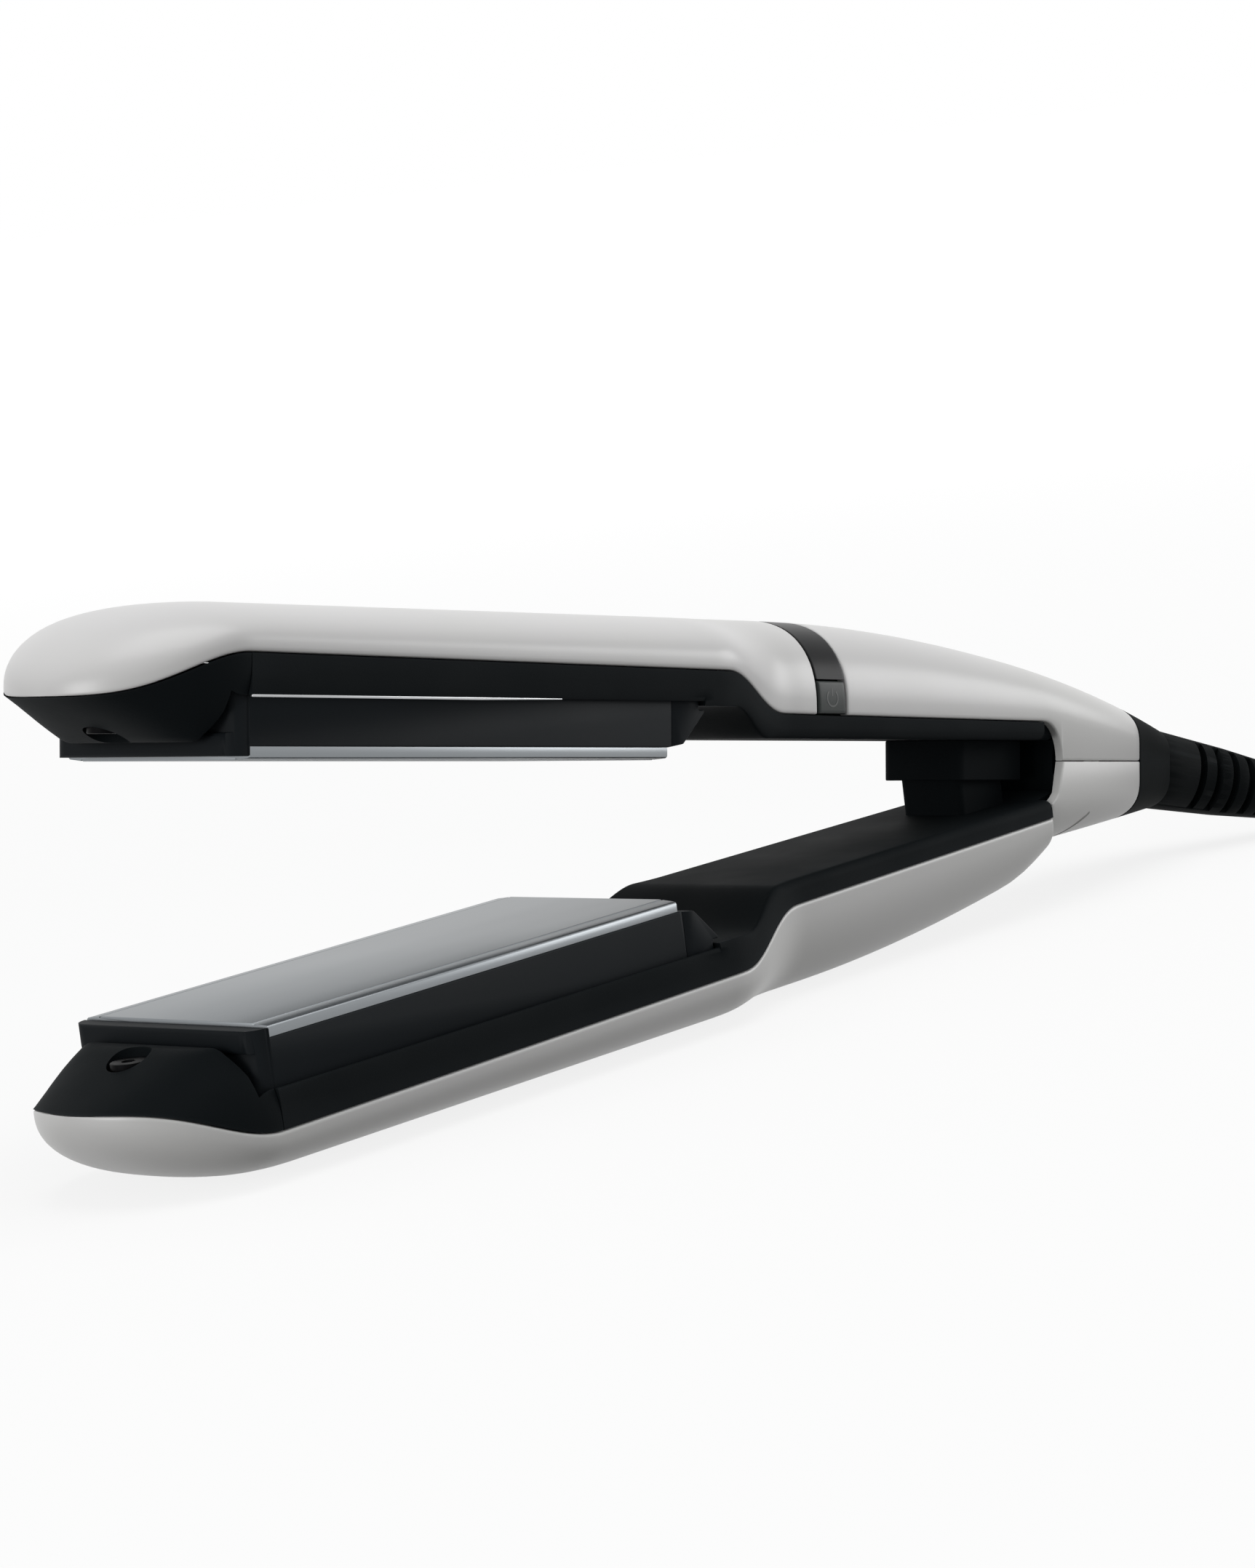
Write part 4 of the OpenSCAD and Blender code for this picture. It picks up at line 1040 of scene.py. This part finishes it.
@dataclass
class HeatedPlates:
    """Floating carriers with their ground plates.

    A plate runs from rear_u to front_u, and its carrier's front ends at lip_u.
    """

    plate_w: float = 42.0
    rear_u: float = 136.0
    front_u: float = 235.0
    top: float = 0.15
    base: float = 2.3
    bevel: float = 3.2
    groove_w: float = 0.5
    groove_d: float = 0.32
    rail_half: float = 6.0
    rail_h: float = 5.7
    seam_u: float = 135.1
    seam_half: float = 0.09
    seam_at: Flat = (21.0, 21.6)
    lip_u: float = 238.8
    corner_r: float = 3.5

    def section(self, u: float) -> Row:
        """Section of a plate at u, with a groove inside each bevelled edge and two rails behind."""
        half, strip, g = self.plate_w / 2, self.plate_w / 2 - self.bevel, self.groove_w / 2
        near = [
            (half, self.base), (half, self.top + 0.75), (half - 0.12, self.top + 0.5),
            (half - 0.4, self.top + 0.32), (strip + g, self.top + 0.08),
            (strip + 0.3 * g, self.top + self.groove_d), (strip - 0.3 * g, self.top + self.groove_d),
            (strip - g, self.top),
        ]
        outside, inside = self.rail_half + 3, self.rail_half + 0.2
        rail = [(outside, self.base), (outside, self.rail_h), (inside, self.rail_h), (inside, self.base)]
        return row_at(u, near) + [(u, -v, h) for _, v, h in row_at(u, rail)]

    def plate(self, arm: Arm) -> Object:
        """One heated plate."""
        ends = (self.section(self.rear_u), self.section(self.front_u))
        plate = extruded("plate_" + arm.name.lower(), arm, *ends, sharp=20)
        return round_edges(plate, 0.16, 2, 50)

    def corner(self, arm: Arm, side: int) -> Object:
        """Cutter that rounds one front corner of a carrier in plan, near for side 1 and far for -1."""
        front, edge, r = self.lip_u, self.plate_w / 2, self.corner_r
        arc = [(front - r + r * math.cos(t), edge - r + r * math.sin(t)) for t in fan(0, 90, 10)]
        outline = [*arc, (front - r, edge + 1), (front + 1, edge + 1), (front + 1, edge - r)]
        return column("corner", arm, [(u, side * v) for u, v in outline], -1, 14)

    def carrier(self, arm: Arm) -> Object:
        """One carrier with soft edges and the joint behind the plate."""
        side_name = arm.name.lower()
        carrier = moulded_copy("carrier_" + side_name, side_name + "_carrier", 0.45, 3)
        low_u, high_u = self.seam_u - self.seam_half, self.seam_u + self.seam_half
        for side in (-1, 1):
            span = sorted(side * v for v in self.seam_at)
            seam = prism("seam", arm, [(low_u, 1), (high_u, 1), (high_u, 13), (low_u, 13)], *span)
            join(carrier, [seam], Join.CUT)
        return join(carrier, [self.corner(arm, side) for side in (-1, 1)], Join.CUT)

    def build(self) -> None:
        """Makes and places the plates and carriers."""
        for arm in Arm:
            side = arm.name.lower()
            body = side + "_float"
            place(self.carrier(arm), body, BLACK_CARRIER, "black_satin", side + "_carrier")
            place(self.plate(arm), body, plate_finish(arm), "plate_metal", side + "_plate")


@dataclass
class RingAndButton:
    """Accent ring with the power button and its mark."""

    shape: ArmShape = SHAPE
    button_low: float = 8.45
    button_h: float = 5.95
    gap: float = 0.3
    ring_ends: tuple[float, ...] = (0, 0.03, 0.1, 0.2)
    button_ends: tuple[float, ...] = (0, 0.06, 0.18, 0.4)
    mark_r: float = 1.5
    mark_half: float = 0.16

    @staticmethod
    def crowded(start: float, end: float, ends: tuple[float, ...], clear: float, count: int) -> list[float]:
        """Values from start to end, even between the two clear lengths and crowded at the ends."""
        even = steps(start + clear, end - clear, count)
        return [start + d for d in ends] + even + [end - d for d in reversed(ends)]

    def ring(self) -> Object:
        """Ring round the handle, open where the button sits."""
        s, shells = self.shape, Shells(edge_round=0.3)
        start, end = s.ring_u + s.seam / 2, s.ring_u + s.ring_len - s.seam / 2
        rows = []
        for u in self.crowded(start, end, self.ring_ends, 0.525, 6):
            shrink = 0.04 + rounding(min(u - start, end - u), self.ring_ends[-1])
            rows.append(shells.both(u, s.edge(u), s.base(u), s.crown(u), s.wall, shrink))
        ring = skin("ring_accent", Arm.UPPER, *zip(*rows))
        low, high = s.ring_u - 1, s.ring_u + s.ring_len + 1
        top = self.button_low + self.button_h + self.gap
        window = prism("window", Arm.UPPER, [(low, 0), (high, 0), (high, top), (low, top)], 5, s.body_half)
        return join(ring, [window], Join.CUT)

    def button(self) -> Object:
        """Button whose face follows the handle's side."""
        s, ends = self.shape, self.button_ends
        us = self.crowded(s.ring_u + self.gap, s.ring_u + s.ring_len - self.gap, ends, 0.9, 8)
        hs = self.crowded(self.button_low, self.button_low + self.button_h, ends, 0.7, 10)

        def face(u: float, h: float) -> Point:
            edge = min(u - us[0], us[-1] - u, h - hs[0], hs[-1] - h)
            return (u, s.side_v(u, h) - rounding(edge, ends[-1]), h)

        behind = s.half_width(s.ring_u) - s.wall - 0.6
        grids = ([[face(u, h) for h in hs] for u in us], [[(u, behind, h) for h in hs] for u in us])
        return skin("button_power", Arm.UPPER, *grids)

    def ribbon(self, line: Line) -> Row:
        """Points of a narrow band along a line of (u, h): its face, then its sunk back."""
        face, back = [], []
        for i, (u, h) in enumerate(line):
            a, b = Vector(line[max(i - 1, 0)]), Vector(line[min(i + 1, len(line) - 1)])
            along = (b - a).normalized()
            for k in (-self.mark_half, self.mark_half):
                at = (u - along.y * k, h + along.x * k)
                v = self.shape.side_v(*at)
                face.append((at[0], v + 0.03, at[1]))
                back.append((at[0], v - 0.2, at[1]))
        return face + back

    def mark(self) -> Object:
        """Generic on-off mark: a broken circle with an upright stroke, laid on the button's face."""
        mid_u, mid_h = self.shape.ring_u + self.shape.ring_len / 2, self.button_low + self.button_h / 2
        turn = [(self.mark_r * math.sin(a), self.mark_r * math.cos(a) - 0.1) for a in fan(40, 320, 40)]
        points, faces = [], []
        for line in (turn, [(0, 0.3), (0, 0.9), (0, 1.6)]):
            first = len(points)
            points += self.ribbon([(mid_u + u, mid_h + h) for u, h in line])
            faces += [[first + i for i in face] for face in skin_faces(len(line), 2)]
        return solid("button_mark", [STANCE.world(Arm.UPPER, p) for p in points], faces, 30)

    def build(self) -> None:
        """Makes and places the ring, the button and its mark."""
        place(self.ring(), "upper_arm", RING_PC, "black_gloss", "accent_ring")
        place(self.button(), "button", BUTTON_PC, "button_grey", "power_button")
        place(self.mark(), "button", MARK_PC, "button_grey")


@dataclass(frozen=True)
class Hank:
    """Route of the cord's folded length, in mm: turns of two runs and two folds, in layers."""

    entry: Point = (-270.0, 42.2, 3.9)
    turns: int = 2
    layers: int = 4
    fold_r: float = 18.0
    run: float = 28.0
    pitch: float = 6.6
    waist_draw: float = 1.5
    cord_d: float = 6.0
    plug_t: float = 14.0
    rings_per_turn: int = 72

    @property
    def outer(self) -> float:
        """Radius of the outermost fold."""
        return self.fold_r + self.turns * self.pitch

    @property
    def fold(self) -> float:
        """Mean length of a fold."""
        return math.pi * (self.fold_r + self.outer) / 2

    def half_point(self, s: float, r: float) -> Vector:
        """Point at a distance s along the first half of a turn, from the middle."""
        if s < self.run:
            waist = self.waist_draw * math.sin(math.pi * s / self.run) ** 2
            return Vector((self.run / 2 - s, r - waist, 0))
        a = math.pi * (s - self.run) / self.fold
        return Vector((-self.run / 2 - r * math.sin(a), r * math.cos(a), 0))

    def point(self, n: float, r: float, z: float) -> Vector:
        """Point after n turns, at a radius and a height, in metres."""
        half = self.run + self.fold
        s = (n - math.floor(n)) * 2 * half
        plan = self.half_point(s, r) if s < half else -self.half_point(s - half, r)
        middle = Vector((self.entry[0] - self.run / 2, self.entry[1] - self.outer, z))
        return (middle + plan) * MM

    def radius(self, n: float) -> float:
        """Radius after n turns."""
        m = n % (2 * self.turns)
        return self.outer - self.pitch * min(m, 2 * self.turns - m)

    def height(self, n: float) -> float:
        """Height after n turns, climbing where the winding reverses."""
        ends = [self.turns * k for k in range(1, self.layers)]
        return self.entry[2] + self.pitch * sum(share(n, end - 0.25, end + 0.25) for end in ends)

    def points(self) -> list[Vector]:
        """Whole route in metres, from the lead to the plug."""
        total = self.turns * self.layers
        leave = total - self.fold / (2 * (self.run + self.fold))
        route = [(Vector(self.entry) + Vector((t * self.cord_d, 0, 0))) * MM for t in (1.0, 0.5)]
        for i in range(math.floor(leave * self.rings_per_turn) + 1):
            n = i / self.rings_per_turn
            route.append(self.point(n, self.radius(n), self.height(n)))
        top = self.entry[2] + (self.layers - 1) * self.pitch
        step_up = self.pitch + 0.2
        plug_up = self.cord_d / 2 + self.plug_t / 2 + 0.1 - step_up
        for t in steps(0, 1, self.rings_per_turn // 2)[1:]:
            r = mix(self.radius(leave), self.fold_r - 1, ease((t - 0.3) / 0.6))
            z = top + step_up * ease(t / 0.4) + plug_up * ease(2 * t - 1)
            route.append(self.point(mix(leave, total, t), r, z))
        return [*route, route[-1] - Vector((self.cord_d * MM, 0, 0))]


@dataclass
class Cord:
    """Boot, lead, hank, tie and plug.

    Each slot is its distance along the boot in mm and its turn in degrees. The lead's points are in mm
    in the scene.
    """

    hank: Hank = Hank()
    yaw: float = 25.0
    droop: float = 9.5
    ball: Point = (-32.5, 0.0, -1.15)
    reach: float = 36.0
    slots: tuple[Flat, ...] = ((14.2, 180), (12.2, 0), (10.2, 180))
    slot_len: float = 1.6
    slot_turn: float = 65.0
    slot_r: Flat = (4.2, 9.5)
    lead: tuple[Point, ...] = (
        (-220.9, 19.3, 4.3), (-224.2, 21.3, 3.7), (-227.4, 23.5, 3.3), (-230.6, 25.8, 3.1),
        (-233.8, 28.1, 3.1), (-236.9, 30.5, 3.1), (-240.1, 32.7, 3.1), (-243.3, 34.9, 3.1),
        (-246.6, 36.9, 3.3), (-249.9, 38.7, 3.4), (-253.3, 40.1, 3.6), (-256.7, 41.2, 3.7),
        (-260.3, 42.1, 3.9), (-263, 42.2, 3.9),
    )

    @property
    def along(self) -> Vector:
        """Direction of the boot on the upper arm."""
        yaw, droop = math.radians(self.yaw), math.radians(self.droop)
        return Vector((-math.cos(yaw) * math.cos(droop), math.sin(yaw) * math.cos(droop), -math.sin(droop)))

    @property
    def exit(self) -> Vector:
        """Where the cord leaves its boot, in metres."""
        return Vector(STANCE.world(Arm.UPPER, Vector(self.ball) + self.reach * self.along))

    def near_slots(self) -> list[Object]:
        """Cutters for the staggered slots between the rim and the boot's other slots."""
        along = self.along
        side = Vector((0, 0, 1)).cross(along).normalized()
        up = along.cross(side)

        def place_at(z: float, r: float, a: float) -> Vector:
            return Vector(self.ball) + z * along + r * (math.cos(a) * side + math.sin(a) * up)

        tools = []
        for reach, turn in self.slots:
            angles = fan(turn - self.slot_turn, turn + self.slot_turn, 16)
            ends = (reach, reach + self.slot_len)
            grids = [[[place_at(z, r, a) for a in angles] for z in ends] for r in self.slot_r]
            tools.append(skin("slot", Arm.UPPER, *grids, sharp=30))
        return tools

    @staticmethod
    def smooth(points: list[Vector], parts: int) -> list[Vector]:
        """Finer points on a smooth curve through the given ones."""
        out = []
        for i in range(len(points) - 1):
            a, b = points[max(i - 1, 0)], points[i]
            c, d = points[i + 1], points[min(i + 2, len(points) - 1)]
            for k in range(parts):
                t = k / parts
                square, cube = 2 * a - 5 * b + 4 * c - d, 3 * b - a - 3 * c + d
                out.append(0.5 * (2 * b + (c - a) * t + square * t * t + cube * t**3))
        return [*out, points[-1]]

    def build(self) -> None:
        """Makes and places the boot, the cord, its tie and its plug."""
        boot = join(moulded_copy("boot", "cord_boot", 0.2), self.near_slots(), Join.CUT)
        place(boot, "boot", BLACK_PVC, "black_rubber", "cord_boot")
        diameter, folded = self.hank.cord_d * MM, self.hank.points()
        start = [self.exit, self.exit + diameter * STANCE.direction(Arm.UPPER, self.along)]
        lead = [*start, *[Vector(p) * MM for p in self.lead], folded[0]]
        path = self.smooth(lead, 3) + folded[1:]
        cord = tube("cord", path, [diameter / 2] * len(path))
        place(cord, "upper_arm", CORD_PVC, "black_rubber", "cord_lead", "cord_coil")
        tie = moulded_copy("cord_tie_strap", "cord_tie", 0.12)
        place(tie, "upper_arm", TIE_NYLON, "black_satin", "cord_tie")
        plug = moulded_copy("plug_moulded", "plug_body")
        place(plug, "upper_arm", BLACK_PVC, "black_rubber", "plug_body")
        pins = moulded_copy("plug_contacts", "plug_pins")
        place(pins, "upper_arm", PIN_NICKEL, "pin_metal", "plug_pins")
        length = sum((b - a).length for a, b in zip(path, path[1:]))
        log.info("cord length %.3f m", length)
        tuple(self.exit)
        [tuple(p) for p in path]


@dataclass
class Works:
    """Inner parts: those that keep their solids, the spring and its sleeve."""

    finishes: dict[str, tuple[Finish, str]] = field(default_factory=lambda: {
        "upper_heater": (CERAMIC, "ceramic"),
        "lower_heater": (CERAMIC, "ceramic"),
        "upper_cushions": (SILICONE, "silicone"),
        "lower_cushions": (SILICONE, "silicone"),
        "button_switch": (SWITCH, "black_satin"),
        "control_board": (BOARD, "board_green"),
        "thermal_fuse": (FUSE, "ceramic"),
        "hinge_pin": (BRIGHT_STEEL, "steel"),
        "hinge_bushes": (BRONZE, "bronze"),
        "swivel_bush": (SWITCH, "black_satin"),
    })
    spring_head: Point = (29.65, 0.0, 10.4)
    spring_foot: Point = (28.06, 0.0, -9.31)
    spring_keep: float = 0.73

    def build(self) -> None:
        """Dresses the kept solids, and makes the spring and its sleeve."""
        for node, (finish, slot) in self.finishes.items():
            dress(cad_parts[node], finish, slot)
        spring = moulded_copy("spring_coiled", "jaw_spring")
        place(spring, "upper_arm", BRIGHT_STEEL, "steel", "jaw_spring")
        head, foot = Vector(self.spring_head), Vector(self.spring_foot)
        tuple(STANCE.direction(Arm.UPPER, head - foot))
        STANCE.world(Arm.UPPER, head)
        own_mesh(spring)
        sleeve = moulded_copy("sleeve_spring", "spring_sleeve", 0.3, 3)
        place(sleeve, "upper_arm", BLACK_PPS, "black_satin", "spring_sleeve")


# ---------------- stage


@dataclass
class Studio:
    """Camera, floor and soft lamps. The camera's place in mm and its axes are on the upper arm."""

    sensor: float = 36.0
    lens: float = 108.53432
    eye: Point = (747.29, 550.48, -2.935)
    right: Point = (-0.66108, 0.75031, -0.00437)
    ahead: Point = (-0.75031, -0.66109, -0.0012)
    floor_half: float = 60.0
    floor_keep: float = 0.8
    floor_fade: Flat = (0.3, 1.6)
    floor_glow: float = 1.04
    room_level: float = 0.36

    def camera(self) -> None:
        """Sets the camera by its place and axes."""
        data = bpy.data.cameras.new("camera")
        data.lens, data.sensor_width, data.clip_start, data.clip_end = self.lens, self.sensor, 0.01, 50.0
        obj = linked("camera", data)
        right = STANCE.direction(Arm.UPPER, self.right)
        back = -STANCE.direction(Arm.UPPER, self.ahead)
        up = back.cross(right).normalized()
        right = up.cross(back).normalized()
        turn = Matrix((right, up, back)).transposed().to_4x4()
        obj.matrix_world = Matrix.Translation(STANCE.world(Arm.UPPER, self.eye)) @ turn
        bpy.context.scene.camera = obj

    @staticmethod
    def seen(tree: NodeTree) -> NodeSocket:
        """1 for rays from the camera, off a glossy face or through glass, and 0 for the others."""
        path = add_node(tree, "LightPath").outputs
        mirror = combine(tree, "MAXIMUM", path["Is Glossy Ray"], path["Is Transmission Ray"])
        return combine(tree, "MAXIMUM", path["Is Camera Ray"], mirror)

    def floor(self) -> None:
        """Pale floor that shows white to the camera and in reflections, and keeps the shadow."""
        half = self.floor_half
        corners = [(x * half, y * half, 0) for x, y in ((-1, -1), (1, -1), (1, 1), (-1, 1))]
        mesh = bpy.data.meshes.new("floor")
        mesh.from_pydata(corners, [], [[0, 1, 2, 3]])
        floor = linked("floor", mesh)
        paint = bpy.data.materials.new("paper_matt_white")
        tree = blank_tree(paint)
        seen = self.seen(tree)
        spot = add_node(tree, "TexCoord").outputs["Object"]
        reach = add_node(tree, "VectorMath", {"operation": "LENGTH"}, {0: spot}).outputs["Value"]
        keep = remap(tree, reach, self.floor_fade, (self.floor_keep, 1.0))
        glow_share = combine(tree, "MULTIPLY", seen, keep)
        tone = blend(tree, seen, "#6e6e6d", "#f4f4f3")
        matt = add_node(tree, "BsdfDiffuse", None, {"Color": tone}).outputs[0]
        glow = {"Color": linear("#ffffff"), "Strength": self.floor_glow}
        white = add_node(tree, "Emission", glow).outputs[0]
        both = add_node(tree, "MixShader", None, {0: glow_share, 1: matt, 2: white}).outputs[0]
        add_node(tree, "OutputMaterial", None, {"Surface": both})
        mesh.materials.append(paint)

    def lamp(self, name: str, at: Point, aim: Point, size: float, watts: float) -> None:
        """Adds one soft square lamp."""
        data = bpy.data.lights.new(name, "AREA")
        data.size, data.energy = size, watts
        obj = linked(name, data)
        obj.location = at
        obj.rotation_euler = (Vector(aim) - Vector(at)).to_track_quat("-Z", "Y").to_euler()

    def lights(self) -> None:
        """Overhead softbox, fills at the nose and the rear, and an even room."""
        self.lamp("softbox", (-0.1, 0.2, 1.3), (0, 0, 0), 1.2, 8.2)
        self.lamp("nose_fill", (1.4, -0.05, 0.3), (0.1, 0, 0.03), 0.6, 7.0)
        self.lamp("rear_fill", (-1.35, 0.7, 0.15), (-0.15, 0, 0.03), 0.8, 8.0)
        world = bpy.data.worlds.new("room")
        bpy.context.scene.world = world
        tree = blank_tree(world)
        room, white = (
            add_node(tree, "Background", {"Color": linear(tone), "Strength": level}).outputs[0]
            for tone, level in (("#e8eaec", self.room_level), ("#ffffff", 1.0))
        )
        both = add_node(tree, "MixShader", None, {0: self.seen(tree), 1: room, 2: white}).outputs[0]
        add_node(tree, "OutputWorld", None, {"Surface": both})

    def build(self) -> None:
        """Sets up the whole stage."""
        bpy.context.scene.view_settings.view_transform = "Standard"
        self.camera()
        self.floor()
        self.lights()


def main() -> None:
    """Builds the stage and every sub-assembly in order."""
    logging.basicConfig(level=logging.INFO, format="%(name)s: %(message)s")
    for part in (Studio(), Cord(), Shells(), Frames(), Noses(), HeatedPlates(), RingAndButton(), Works()):
        log.info("building %s", type(part).__name__)
        part.build()


if __name__ == "__main__":
    main()
